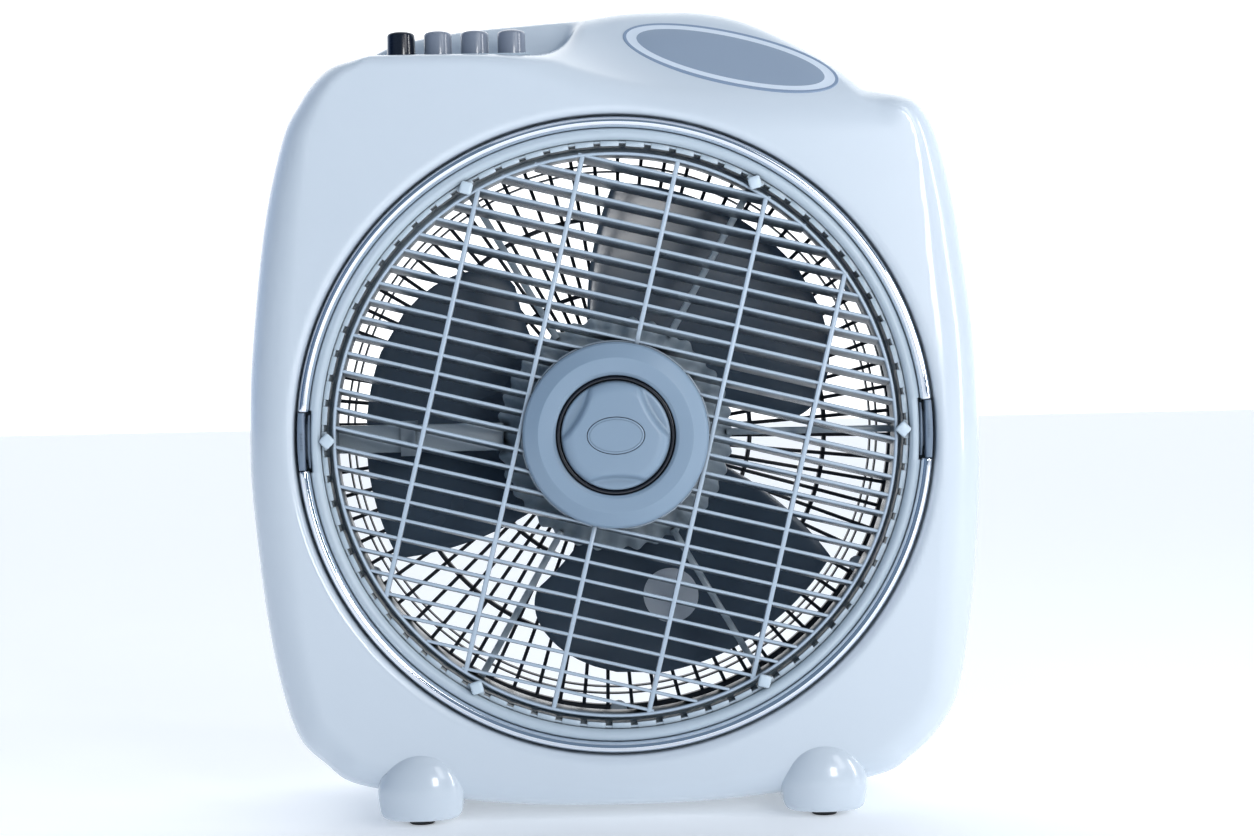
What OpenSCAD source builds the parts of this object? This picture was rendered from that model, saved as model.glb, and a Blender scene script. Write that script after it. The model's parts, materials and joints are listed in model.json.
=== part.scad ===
// Table-top box fan with a turning louver disc in front of the blades.
// X runs to the right, Y to the back and Z up, in millimetres.
// The origin is on the floor, under the middle of the body and its feet.

/* [Body] */
// Width across the bulged sides
body_w = 393; // [390:1:396]
// Height from the floor to the top of the arch
body_h = 438; // [436:1:440]
// Front face of the body, in front of the origin
face_y = 80; // [78:0.5:81]
// Back face of the body, behind the origin
back_y = 72; // [70:0.5:72]
// Where the two shells meet, in front of the origin
parting_y = 5; // [0:0.5:10]
// How far the flat faces stand inside the widest outline at the sides
face_inset = 24; // [22:0.5:24]
// The same at the underside
foot_inset = 16; // [12:0.5:18]
// The same at the top of the front shell
front_top_inset = 5; // [3:0.5:8]
// The same at the top of the rear shell
rear_top_inset = 12; // [8:0.5:14]
// Wall of the moulded shells
wall = 2.5; // [2:0.1:3]
// Height of the fan axis
axis_z = 205; // [204:0.5:206]

/* [Air duct] */
// Bore of the duct through both shells
duct_r = 170.5; // [170:0.1:171]
// Wall of the duct
duct_wall = 2.5; // [2:0.1:3]

/* [Front trim] */
// Outer radius of the bright ring
chrome_r = 169; // [168.5:0.1:169]
// Outer radius of the pale ring inside it
bezel_r = 163; // [162.5:0.1:163]
// Outer radius of the guard's notched ring
guard_r = 156.5; // [156:0.1:156.5]
// Half the angle that each latch takes out of the bright ring
latch_half_angle = 5.5; // [5.4:0.1:6]
// Travel of each latch
latch_travel = 1.5; // [1:0.1:1.5]

/* [Louver disc] */
// Outer radius of the disc
louver_r = 150.4; // [149:0.1:150.6]
// Number of slats across the disc
slat_count = 29; // [25:2:29]
// Distance from slat to slat
slat_pitch = 10; // [9:0.1:10]
// Thickness of a slat
slat_t = 1.8; // [1.4:0.1:2.4]
// Depth of a slat from front to back
slat_d = 18; // [14:0.5:18]
// Lean of the slats
slat_lean = 7.6; // [0:0.1:10]
// Turn of the disc at rest
louver_turn = 14; // [0:1:30]
// Outer radius of the centre cap
cap_r = 49.5; // [48:0.5:52]
// Radius of the lock knob
knob_r = 29; // [28:0.1:29]

/* [Guard] */
// Number of notches in the guard ring
notch_count = 72; // [60:12:84]
// Width of a notch
notch_w = 4.3; // [3:0.1:5]
// Number of spokes
spoke_count = 6; // [6:1:6]
// Width of a spoke
spoke_w = 3.6; // [3:0.1:5]
// Radius of the fluted hub
hub_r = 62.5; // [61:0.1:64]
// Number of flutes around the hub
flute_count = 36; // [30:1:40]
// Width of the wire duct
wire_duct_w = 15; // [12:0.5:16]

/* [Rear grille] */
// Number of ribs
rib_count = 72; // [60:6:72]
// Width of a rib
rib_w = 2.2; // [1.8:0.1:2.4]
// Outer radius of the grille
grille_r = 170; // [169.5:0.1:170.2]
// Radius of the centre plate that carries the motor
plate_r = 50; // [46:1:54]

/* [Fan] */
// Number of blades
blade_count = 3; // [3:1:3]
// Tip radius of the blades
blade_r = 140; // [130:1:144]
// Depth of the blades along the axis
blade_d = 44; // [36:1:46]
// Thickness of a blade
blade_t = 2.2; // [1.8:0.1:3]
// Radius of the fan's hub
fan_hub_r = 32; // [28:1:36]
// Angle of the first blade, seen from the front
blade_angle = 176; // [0:1:359]
// Radius of the round sticker on one blade
sticker_r = 15.5; // [12:0.5:16]

/* [Motor] */
// Radius of the motor
motor_r = 42; // [40:0.5:44]
// Radius of the rotor
rotor_r = 22; // [20:0.5:23]
// Radius of the main shaft
shaft_r = 4; // [4:0.5:4]

/* [Buttons] */
// Radius of a button
button_r = 7.6; // [7:0.1:7.8]
// Distance from button to button
button_pitch = 19.8; // [19.2:0.1:20]
// Place of the middle of the row across the body
button_mid_x = -81.25; // [-83:0.25:-80]
// Travel of a button
button_travel = 5; // [3:0.5:5]
// Height of the shelf that the buttons stand on
shelf_z = 409; // [408:0.5:410]

/* [Label] */
// Length of the oval label
label_l = 121; // [116:1:124]
// Height of the oval label
label_h = 41; // [38:1:42]
// Turn of the label on its face, clockwise
label_turn = 20; // [18:0.5:21]
// Lean of that face from upright
label_lean = 39; // [38:0.5:41]

/* [Feet] */
// Distance of each foot from the middle
foot_x = 107.5; // [104:0.5:110]
// Width of a foot
foot_w = 46; // [42:1:50]
// Height of a foot above its pads, to the top of its rounded back
foot_h = 36.5; // [34:0.5:37]
// Length of a foot from front to back
foot_l = 176; // [174:1:180]
// Radius of a rubber pad
pad_r = 7.2; // [6:0.1:9]
// Thickness of a rubber pad
pad_h = 3; // [2:0.5:4]

/* [Hidden] */
$fn = 96;

thin = 0.02;          // a slice of no real thickness, for hulls
reach = 30;           // how far a cutter runs past what it cuts
fit = 0.3;            // gap between parts that move
sx = body_w / 396;    // outline points are for a body of 396 by 438
sz = body_h / 438;

// Outline of the body without its arch, counter-clockwise from the bottom
body_points = [[0, 5], [66, 7.5], [136, 17], [158, 28], [175, 45], [185, 66], [193, 115],
    [197.5, 170], [198, 205], [196.3, 255], [190, 307], [186, 331], [180.5, 355], [176, 368],
    [171, 377], [165, 383], [156, 385.5], [130, 389], [80, 394], [10, 401], [-60, 408], [-112, 412],
    [-133, 411.5], [-148, 406.5], [-159, 397.5], [-168, 385], [-177, 367], [-188, 320],
    [-196.3, 250], [-198, 205], [-196.5, 166], [-189, 99], [-177, 50], [-161, 31], [-139, 18],
    [-66, 7.5]];
// Arch over the top, from its left end to its right end
arch_points = [[-137, 412], [-118, 421.5], [-84, 428], [-43, 431.5], [-16, 433.5], [9, 437.2],
    [31, 438], [54, 437], [76.5, 431], [101, 418], [120, 405], [134, 392.5], [144, 381.5]];
arch_foot = 365;      // the arch's own solid goes down to here, inside the body
body_foot = 5;        // lowest point of the body

// Each slice of a shell: how far from the parting line, as a share, and how far inside the outline
front_slices = [[0, 0], [0.68, 0.06], [0.84, 0.18], [0.94, 0.46], [1, 1]];
rear_slices = [[0, 0], [0.66, 0.06], [0.84, 0.2], [0.94, 0.48], [1, 1]];

duct_out_r = duct_r + duct_wall;
ledge_r = 160;        // inner radius of the ledges inside the duct
ledge_y = -42;        // front of the ledge that the guard stands on
ledge_t = 4;
rim_screw_r = 166.5;  // radius of the circle of guard and grille screws
boss_places = [[-140, 72], [140, 72], [140, 345], [-140, 345]];
boss_r = 6;
screw_hole_r = 1.6;
screw_seat_y = 30;    // depth at which the housing screws' heads sit

// Shelf for the buttons
shelf_left = -180;
shelf_right = -35;
shelf_scoop_r = 18;
shelf_back = -30;
button_y = -55;
button_top = 15;      // height of a button above the shelf
button_skirt = 9;     // depth of a button below the shelf
button_hole_r = button_r + 0.4;
stem_r = 2.4;
switch_top = shelf_z - button_skirt - button_travel - 2;
switch_h = 13;
switch_x = button_mid_x;
switch_l = 88;
switch_d = 36;
plate_t = 1.2;        // thickness of the button plate
plate_l = 80;
capacitor_x = 20;
capacitor_z = 380;
capacitor_l = 38;
terminals_x = 78;
terminals_z = 366;
terminals_l = 32;

// Face that carries the label
label_x = 66;
label_y = -56;
label_z = 407;
face_right = 146;
ridge_top = [-17, -40, 430];    // top end of the ridge between the shelf's scoop and the label's face
ridge_tilt = 37.5;    // turn of the ridge's slope about X, from level
ridge_turn = 26.6;    // and then about Z
label_t = 1.2;
label_sink = 0.8;

// Stations along the axis, front to back
knob_y = -88;
cap_y = -84;
cap_floor_y = -76;
cap_back_y = -60;
louver_front_y = -76;
louver_back_y = louver_front_y + slat_d;
rim_t = 2.5;
divider_w = 2.6;
divider_d = 6;
divider_gap = 50;
guard_front_y = -74;
spoke_y = -52;
spoke_d = 7;
hub_front_y = -54;
hub_back_y = -30;
guard_in_r = 152;
guard_flange_t = 4;
retainer_y = -79.5;
retainer_back_y = -76.6;
louver_motor_r = 25;
louver_motor_y = hub_front_y + wall;
louver_motor_d = 15.5;
motor_ear_x = 30;
louver_shaft_r = 3.5;
louver_shaft_front = -70.5;
louver_shaft_back = -46;
knob_stem_r = 4;
recess_r = 31.8;
latch_w = 7;
latch_r = duct_r - fit - latch_travel;
latch_h = 31;
latch_front_y = -79;
latch_back_y = -59;
blade_front_y = -blade_d / 2;
blade_back_y = blade_d / 2;
nut_y = blade_front_y - 9;
shaft_front = nut_y + 3;
shaft_back = 66;
pin_y = 12;
pin_r = 1.5;
bell_y = 26;
core_y = 38;
core_back_y = 56;
motor_back_y = 69.8;
bearing_r = 8;
bearing_t = 6;
bolt_r = 2;
bolt_place = 36;
coil_r = 33;
coil_t = 6;
grille_y = 70;
grille_t = 6;
plate_thick = 3;
grille_ledge_y = grille_y - ledge_t;
motor_screw_place = 28;
swirl = 4;            // angle by which a rib leans between its two ends

foot_nose = 14;       // length of a foot's rounded end
pad_y = 71.5;
foot_screw_y = 30;
foot_screw_r = 2;
gland_x = -100;
gland_z = 55;
gland_r = 5.4;
gland_hole_r = 3.6;

// Grip in the back of the arch
grip_left = -50;
grip_right = 66;
grip_low = 385;
grip_high = 408;
grip_front = 30;

// ---- helpers ----

function curve_point(a, b, c, d, t) =
    0.5 * (2 * b + (c - a) * t + (2 * a - 5 * b + 4 * c - d) * t * t
        + (3 * b - a - 3 * c + d) * t * t * t);

function closed_curve(p, n) = [for (i = [0:len(p) - 1], k = [0:n - 1])
    curve_point(p[(i + len(p) - 1) % len(p)], p[i], p[(i + 1) % len(p)],
        p[(i + 2) % len(p)], k / n)];

function open_curve(p, n) = concat([for (i = [0:len(p) - 2], k = [0:n - 1])
    curve_point(p[max(i - 1, 0)], p[i], p[i + 1], p[min(i + 2, len(p) - 1)], k / n)],
    [p[len(p) - 1]]);

function oval(l, h, n) = [for (i = [0:n - 1]) [l / 2 * cos(360 * i / n), h / 2 * sin(360 * i / n)]];

// A flat shape in X and Z, from y0 back to y1
module slab(y0, y1) {
    translate([0, y1, 0])
        rotate([90, 0, 0])
            linear_extrude(y1 - y0)
                children();
}

module on_axis() {
    translate([0, 0, axis_z])
        children();
}

// Turned about the fan axis, counter-clockwise as seen from the front
module turned_by(angle) {
    rotate([0, -angle, 0])
        children();
}

module disc(r, y0, y1) {
    on_axis()
        slab(y0, y1)
            circle(r);
}

module ring(r_out, r_in, y0, y1) {
    on_axis()
        slab(y0, y1)
            difference() {
                circle(r_out);
                circle(r_in);
            }
}

// A profile of radius and y, turned about the fan axis
module lathe(points, angle = 360) {
    on_axis()
        rotate([-90, 0, 0])
            rotate_extrude(angle = angle)
                polygon(points);
}

// A round rod along Y, at a place across the body
module rod(x, z, r, y0, y1) {
    translate([x, 0, z])
        slab(y0, y1)
            circle(r, $fn = 32);
}

// Copies around the fan axis
module around(count, start = 0) {
    for (i = [0:count - 1])
        turned_by(start + 360 * i / count)
            children();
}

// Rods along Y on a circle about the fan axis
module rods_around(count, place, r, y0, y1, start = 0) {
    on_axis()
        around(count, start)
            rod(place, 0, r, y0, y1);
}

// ---- body ----

module body_outline() {
    scale([sx, sz])
        polygon(closed_curve(body_points, 3));
}

module arch_outline() {
    scale([sx, sz])
        polygon(concat(open_curve(arch_points, 3), [[144, arch_foot], [-137, arch_foot]]));
}

// An outline drawn in by a share of the inset, less at its top than at its sides and foot
module drawn_in(share, top_inset) {
    low = foot_inset * share;
    squeeze = 1 - (low + top_inset * share) / (body_h - body_foot);
    translate([0, body_foot + low])
        scale([1 - 2 * face_inset * share / body_w, squeeze])
            translate([0, -body_foot])
                children();
}

// Smooth stack of slices from the parting line to the face at end_y
module stack(slices, end_y, top_inset, skin) {
    start = -parting_y + sign(end_y) * thin / 2;
    run = end_y - sign(end_y) * (skin + thin / 2) - start;
    hull()
        for (s = slices)
            translate([0, start + run * s[0], 0])
                rotate([90, 0, 0])
                    linear_extrude(thin, center = true)
                        offset(delta = -skin)
                            drawn_in(s[1], top_inset)
                                children();
}

module front_solid(skin = 0) {
    stack(front_slices, -face_y, front_top_inset, skin)
        body_outline();
    stack(front_slices, -face_y, front_top_inset, skin)
        arch_outline();
}

module rear_solid(skin = 0) {
    stack(rear_slices, back_y, rear_top_inset, skin)
        body_outline();
    stack(rear_slices, back_y, rear_top_inset, skin)
        arch_outline();
}

// Everything in front of and above the leaning face and the ridge beside it, moved out by a margin
module above_label_face(margin = 0) {
    intersection() {
        at_label_face()
            above(margin);
        translate(ridge_top)
            rotate([ridge_tilt, 0, ridge_turn])
                above(margin);
        translate([face_right - margin - 10 * reach, -face_y - 4 * reach, axis_z])
            cube([10 * reach, 8 * reach, body_h]);
    }
}

// A big block that stands on the XY plane, moved up by a margin
module above(margin) {
    translate([-10 * reach, -10 * reach, margin])
        cube([20 * reach, 20 * reach, 5 * reach]);
}

// A frame with its X across the leaning face and its Z straight out of it
module at_label_face() {
    translate([label_x, label_y, label_z])
        rotate([90 - label_lean, 0, 0])
            children();
}

module at_label() {
    at_label_face()
        rotate(-label_turn)
            children();
}

// Space over the button shelf, with a round scoop at its right end
module shelf_space(skin = 0) {
    scoop = [for (a = [270:15:360])
        [shelf_right + shelf_scoop_r * cos(a), shelf_z + shelf_scoop_r + shelf_scoop_r * sin(a)]];
    slab(-face_y - reach, shelf_back + skin)
        offset(delta = skin)
            polygon(concat(scoop, [[shelf_right + shelf_scoop_r, body_h + reach],
                [shelf_left, body_h + reach], [shelf_left, shelf_z]]));
}

module button_places() {
    for (i = [0:3])
        translate([button_mid_x + button_pitch * (i - 1.5), button_y, 0])
            children();
}

// Web from the duct up to a part that stands over it
module web(x0, x1, z_top, y) {
    difference() {
        translate([x0, y, z_top - 3 * reach])
            cube([x1 - x0, wall, 3 * reach]);
        disc(duct_r + 1, y - 1, y + wall + 1);
        translate([x0 - 1, y - 1, 0])
            cube([x1 - x0 + 2, wall + 2, axis_z]);
    }
}

module front_shell() {
    color("aliceblue")
        difference() {
            union() {
                difference() {
                    front_solid();
                    difference() {
                        front_solid(wall);
                        shelf_space(wall);
                        above_label_face(-wall);
                    }
                }
                ring(duct_out_r, duct_r - 1, -face_y + 1, -parting_y);
                ring(duct_r + 1, ledge_r, ledge_y, ledge_y + ledge_t);
                for (p = boss_places)
                    rod(p[0], p[1], boss_r, -face_y + wall / 2, -parting_y);
                web(switch_x - switch_l / 2, switch_x + switch_l / 2, switch_top - switch_h, button_y);
                web(capacitor_x, capacitor_x + capacitor_l, capacitor_z, -35);
                web(terminals_x, terminals_x + terminals_l, terminals_z, -32);
            }
            disc(duct_r, -face_y - reach, ledge_y);
            disc(duct_r, ledge_y + ledge_t, -parting_y + reach);
            above_label_face();
            shelf_space();
            at_label()
                translate([0, 0, -label_sink])
                    linear_extrude(reach)
                        polygon(oval(label_l + fit, label_h + fit, 48));
            button_places()
                translate([0, 0, shelf_z - reach / 2])
                    cylinder(r = button_hole_r, h = reach);
            for (p = boss_places)
                rod(p[0], p[1], screw_hole_r, -parting_y - 25, -parting_y + 1);
            rods_around(6, rim_screw_r, screw_hole_r, ledge_y - 1, ledge_y + ledge_t + 1, 30);
            for (side = [-1, 1])
                foot_hole(side, -foot_screw_y, foot_screw_r + 0.2);
        }
}

module foot_hole(side, y, r) {
    translate([side * foot_x, y, -1])
        cylinder(r = r, h = reach + 5, $fn = 32);
}

module grip_space(skin = 0) {
    translate([grip_left - skin, grip_front - skin, grip_low - skin])
        cube([grip_right - grip_left + 2 * skin, back_y, grip_high - grip_low + 2 * skin]);
}

module rear_shell() {
    color("aliceblue")
        difference() {
            union() {
                difference() {
                    rear_solid();
                    difference() {
                        rear_solid(wall);
                        grip_space(wall);
                    }
                }
                ring(duct_out_r, duct_r - 1, -parting_y, back_y - 1);
                ring(duct_r + 1, ledge_r, grille_ledge_y, grille_y);
                for (p = boss_places)
                    rod(p[0], p[1], boss_r, -parting_y, back_y - wall / 2);
            }
            disc(duct_r, -parting_y - reach, grille_ledge_y);
            disc(ledge_r, grille_ledge_y - 1, back_y + reach);
            disc(duct_r, grille_y, back_y + reach);
            grip_space();
            for (p = boss_places) {
                rod(p[0], p[1], bolt_r + 0.2, -parting_y - 1, back_y + 1);
                rod(p[0], p[1], boss_r - 1.5, screw_seat_y, back_y + 1);
            }
            rods_around(6, rim_screw_r, screw_hole_r, grille_ledge_y - 1, grille_y + 1, 30);
            rod(gland_x, gland_z, gland_r, back_y - 5, back_y + 1);
            for (side = [-1, 1])
                foot_hole(side, foot_screw_y, foot_screw_r + 0.2);
        }
}

module label_plate() {
    color("lightsteelblue")
        at_label()
            translate([0, 0, -label_sink])
                linear_extrude(label_t)
                    polygon(oval(label_l, label_h, 48));
}

// ---- front trim ----

module chrome_ring() {
    r_in = bezel_r + 0.3;
    half = latch_half_angle;
    profile = [[r_in, -68], [r_in, -77], [r_in + 1, -79.5], [r_in + 3, -80.5], [chrome_r - 1, -79.5],
        [chrome_r, -77], [chrome_r, -68]];
    color("gainsboro")
        for (side = [0, 180])
            on_axis()
                turned_by(side - half)
                    translate([0, 0, -axis_z])
                        lathe(profile, 180 - 2 * half);
}

module bezel_ring() {
    r_in = guard_r + 0.3;
    profile = [[r_in, ledge_y - guard_flange_t], [r_in, -76], [r_in + 1.5, -78], [bezel_r - 1.5, -78],
        [bezel_r, -76], [bezel_r, -68], [chrome_r, -68], [chrome_r, -64], [bezel_r, -64],
        [bezel_r, ledge_y - guard_flange_t]];
    color("whitesmoke")
        difference() {
            lathe(profile);
            for (side = [-1, 1])
                latch_gap(side);
        }
}

// Room for a latch in the rim of the bezel
module latch_gap(side) {
    r_in = bezel_r - 1.2;
    translate([side > 0 ? r_in : -r_in - 2 * latch_w, latch_front_y - 1, axis_z - latch_h / 2 - 1])
        cube([2 * latch_w, latch_back_y - latch_front_y + 2, latch_h + 2]);
}

module latch(side) {
    r_in = chrome_r - latch_w;
    color("dimgray")
        intersection() {
            disc(latch_r, latch_front_y, latch_back_y);
            translate([side > 0 ? r_in : -chrome_r, latch_front_y, axis_z - latch_h / 2])
                cube([latch_w, latch_back_y - latch_front_y, latch_h]);
            translate([0, latch_front_y - 1, axis_z])
                rotate([45, 0, 0])
                    cube([2 * body_w, latch_h, latch_h], center = true);
        }
}

module latch_left() {
    latch(-1);
}

module latch_right() {
    latch(1);
}

// ---- front guard ----

module spokes_flat() {
    for (i = [0:spoke_count - 1])
        rotate(360 * i / spoke_count)
            translate([hub_r - 2, -(i == 3 ? wire_duct_w : spoke_w) / 2])
                square([guard_in_r - hub_r + 3, i == 3 ? wire_duct_w : spoke_w]);
}

module fluted_flat() {
    circle(hub_r);
    for (i = [0:flute_count - 1])
        rotate(360 * i / flute_count)
            translate([hub_r, 0])
                circle(2.6, $fn = 24);
}

module front_guard() {
    color("lightgray")
        difference() {
            union() {
                on_axis() {
                    slab(guard_front_y, -66)
                        difference() {
                            circle(guard_r);
                            circle(guard_in_r);
                            for (i = [0:notch_count - 1])
                                rotate(360 * (i + 0.5) / notch_count)
                                    translate([guard_in_r - 1, -notch_w / 2])
                                        square([guard_r - guard_in_r + 2, notch_w]);
                        }
                    slab(-66, ledge_y)
                        difference() {
                            circle(guard_r);
                            circle(guard_in_r);
                        }
                    slab(ledge_y - guard_flange_t, ledge_y)
                        difference() {
                            circle(chrome_r + 0.5);
                            circle(guard_r - 1);
                        }
                    slab(spoke_y, spoke_y + spoke_d)
                        spokes_flat();
                    slab(hub_front_y, hub_back_y)
                        fluted_flat();
                    around(spoke_count)
                        retainer();
                }
            }
            disc(hub_r - wall, hub_front_y + wall, hub_back_y + 1);
            disc(louver_shaft_r + 1.5, hub_front_y - 1, hub_front_y + wall + 1);
            rods_around(6, rim_screw_r, screw_hole_r + 0.1, ledge_y - guard_flange_t - 1,
                ledge_y + 1, 30);
            for (side = [-1, 1])
                rod(side * motor_ear_x, axis_z, screw_hole_r, hub_front_y - 1, hub_front_y + wall + 1);
        }
}

// Small square block that keeps the louver disc from tipping forward
module retainer() {
    translate([guard_in_r + 1, 0, 0])
        slab(retainer_y, retainer_back_y)
            circle(5, $fn = 4);
    translate([guard_in_r + 0.3, retainer_y, -2.2])
        cube([guard_r - guard_in_r - 0.6, -retainer_y - 66, 4.4]);
}

module small_screw(x, z, y_head, head_r, head_t, length, r) {
    rod(x, z, head_r, y_head - head_t, y_head);
    rod(x, z, r, y_head, y_head + length);
}

module guard_screws() {
    seat = ledge_y - guard_flange_t;
    color("silver")
        on_axis()
            around(6, 30)
                small_screw(rim_screw_r, 0, seat, 3, 2.2, guard_flange_t + 3, screw_hole_r);
}

module wire_duct() {
    y0 = spoke_y + spoke_d;
    long = guard_in_r - hub_r - 6;
    color("lightblue", 0.6)
        translate([-guard_in_r + 2, y0, axis_z - wire_duct_w / 2])
            difference() {
                cube([long, 9, wire_duct_w]);
                translate([-1, 1.5, 1.5])
                    cube([long + 2, 9, wire_duct_w - 3]);
            }
}

module duct_wire() {
    long = guard_in_r - hub_r - 6;
    color("dimgray")
        for (z = [-2.4, 2.4])
            translate([-guard_in_r + 2, spoke_y + spoke_d + 3.5, axis_z + z])
                rotate([0, 90, 0])
                    cylinder(r = 1.7, h = long, $fn = 24);
}

module duct_clip() {
    y0 = spoke_y;
    deep = spoke_d + 9;
    color("lightgray")
        translate([-112, 0, axis_z])
            difference() {
                translate([-4, y0 - 2, -wire_duct_w / 2 - 2])
                    cube([8, deep + 4, wire_duct_w + 4]);
                translate([-5, y0, -wire_duct_w / 2])
                    cube([10, deep, wire_duct_w]);
            }
}

module louver_motor() {
    y0 = louver_motor_y;
    color("darkgray")
        difference() {
            union() {
                disc(louver_motor_r, y0, y0 + louver_motor_d);
                on_axis()
                    slab(y0, y0 + wall)
                        hull()
                            for (side = [-1, 1])
                                translate([side * motor_ear_x, 0])
                                    circle(5, $fn = 32);
            }
            disc(louver_shaft_r + 0.05, y0 - 1, louver_shaft_back + 0.5);
            for (side = [-1, 1])
                rod(side * motor_ear_x, axis_z, screw_hole_r + 0.1, y0 - 1, y0 + wall + 1);
        }
}

module louver_motor_screws() {
    y0 = louver_motor_y;
    color("silver")
        for (side = [-1, 1]) {
            rod(side * motor_ear_x, axis_z, 3, y0 + wall, y0 + wall + 2);
            rod(side * motor_ear_x, axis_z, screw_hole_r, y0 - 2, y0 + wall);
        }
}

// ---- rear grille and motor ----

module ring_flat(r, w) {
    difference() {
        circle(r + w / 2);
        circle(r - w / 2);
    }
}

module rear_grille() {
    color("midnightblue")
        difference() {
            on_axis() {
                slab(grille_y, grille_y + grille_t) {
                    for (i = [0:rib_count - 1])
                        rotate(360 * i / rib_count)
                            translate([plate_r - 1, 0])
                                rotate(swirl)
                                    translate([0, -rib_w / 2])
                                        square([164.5 - plate_r, rib_w]);
                    for (r = [82, 126.5])
                        ring_flat(r, 2.5);
                    for (r = [154, 158])
                        ring_flat(r, 0.9);
                    difference() {
                        circle(grille_r);
                        circle(161.5);
                    }
                    difference() {
                        circle(plate_r);
                        circle(plate_r - 3);
                    }
                }
                slab(grille_y, grille_y + plate_thick)
                    circle(plate_r);
            }
            rods_around(6, rim_screw_r, screw_hole_r + 0.1, grille_y - 1, grille_y + grille_t + 1, 30);
            rods_around(4, motor_screw_place, bolt_r + 0.1, grille_y - 1, grille_y + grille_t, 45);
        }
}

// Screws driven from behind, heads to the back
module back_screws(count, place, y_head, head_r, length, r, start) {
    on_axis()
        around(count, start) {
            rod(place, 0, head_r, y_head, y_head + 2.2);
            rod(place, 0, r, y_head - length, y_head);
        }
}

module grille_screws() {
    color("silver")
        back_screws(6, rim_screw_r, grille_y + grille_t, 3, grille_t + 3, screw_hole_r, 30);
}

module motor_screws() {
    color("silver")
        back_screws(4, motor_screw_place, grille_y + plate_thick, 4, 5, bolt_r, 45);
}

module motor_front_bell() {
    color("silver")
        difference() {
            lathe([[bearing_r, bell_y], [motor_r - 6, bell_y], [motor_r, bell_y + 6], [motor_r, core_y],
                [motor_r - wall, core_y], [motor_r - wall, bell_y + 7], [motor_r - 7, bell_y + wall],
                [bearing_r + 2, bell_y + wall], [bearing_r + 2, bell_y + bearing_t + 1],
                [bearing_r, bell_y + bearing_t + 1]]);
            rods_around(4, bolt_place, bolt_r + 0.1, bell_y - 1, core_y + 1);
        }
}

module motor_rear_bell() {
    y1 = motor_back_y;
    color("silver")
        difference() {
            lathe([[0, y1], [motor_r - 6, y1], [motor_r, y1 - 6], [motor_r, core_back_y],
                [motor_r - wall, core_back_y], [motor_r - wall, y1 - 7], [motor_r - 7, y1 - wall],
                [bearing_r + 2, y1 - wall], [bearing_r + 2, y1 - wall - bearing_t],
                [bearing_r, y1 - wall - bearing_t], [bearing_r, y1 - wall], [0, y1 - wall]]);
            rods_around(4, bolt_place, bolt_r + 0.1, core_back_y - 1, y1 + 1);
            rods_around(4, motor_screw_place, bolt_r, y1 - wall - 1, y1 + 1, 45);
        }
}

module stator_core() {
    color("gray")
        difference() {
            ring(motor_r, rotor_r + 0.4, core_y, core_back_y);
            rods_around(4, bolt_place, bolt_r + 0.1, core_y - 1, core_back_y + 1);
        }
}

module stator_windings() {
    r_in = rotor_r + 2;
    color("peru") {
        lathe([[r_in, core_y], [r_in, core_y - 3], [r_in + 2, core_y - coil_t],
            [coil_r - 2, core_y - coil_t], [coil_r, core_y - 3], [coil_r, core_y]]);
        lathe([[r_in, core_back_y], [r_in, core_back_y + 3], [r_in + 2, core_back_y + coil_t],
            [coil_r - 2, core_back_y + coil_t], [coil_r, core_back_y + 3], [coil_r, core_back_y]]);
    }
}

module motor_bolts() {
    color("silver")
        on_axis()
            around(4)
                small_screw(bolt_place, 0, bell_y, 3.4, 2.4, motor_back_y - bell_y, bolt_r);
}

module bearing(y0) {
    color("goldenrod")
        ring(bearing_r, shaft_r + 0.03, y0, y0 + bearing_t);
}

module front_bearing() {
    bearing(bell_y + 1);
}

module rear_bearing() {
    bearing(motor_back_y - wall - bearing_t);
}

// ---- electrical parts in the top of the body ----

module capacitor() {
    color("khaki")
        translate([capacitor_x, -45, capacitor_z])
            cube([capacitor_l, 25, 18]);
}

module terminal_block() {
    color("ivory")
        translate([terminals_x, -40, terminals_z])
            difference() {
                cube([terminals_l, 18, 11]);
                for (i = [0:2])
                    translate([6 + 10 * i, 9, 5])
                        cylinder(r = 2.5, h = reach, $fn = 24);
            }
}

module switch_block() {
    color("dimgray")
        difference() {
            translate([switch_x - switch_l / 2, button_y - switch_d / 2, switch_top - switch_h])
                cube([switch_l, switch_d, switch_h]);
            button_places()
                translate([0, 0, switch_top - switch_h + 1])
                    cylinder(r = stem_r + 0.3, h = reach, $fn = 32);
        }
}

module button_plate() {
    color("gainsboro")
        translate([0, 0, shelf_z])
            difference() {
                translate([button_mid_x - plate_l / 2, button_y - 11, 0])
                    cube([plate_l, 22, plate_t]);
                button_places()
                    translate([0, 0, -1])
                        cylinder(r = button_hole_r, h = 5);
            }
}

module cord_gland() {
    color("dimgray")
        difference() {
            union() {
                rod(gland_x, gland_z, gland_r, back_y - 6, back_y);
                rod(gland_x, gland_z, gland_r + 2.2, back_y, back_y + 2);
            }
            rod(gland_x, gland_z, gland_hole_r, back_y - 7, back_y + 3);
        }
}

module housing_screws() {
    color("silver")
        for (p = boss_places) {
            rod(p[0], p[1], 4, screw_seat_y, screw_seat_y + 3);
            rod(p[0], p[1], screw_hole_r, -parting_y - 18, screw_seat_y);
        }
}

// ---- feet ----

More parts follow.
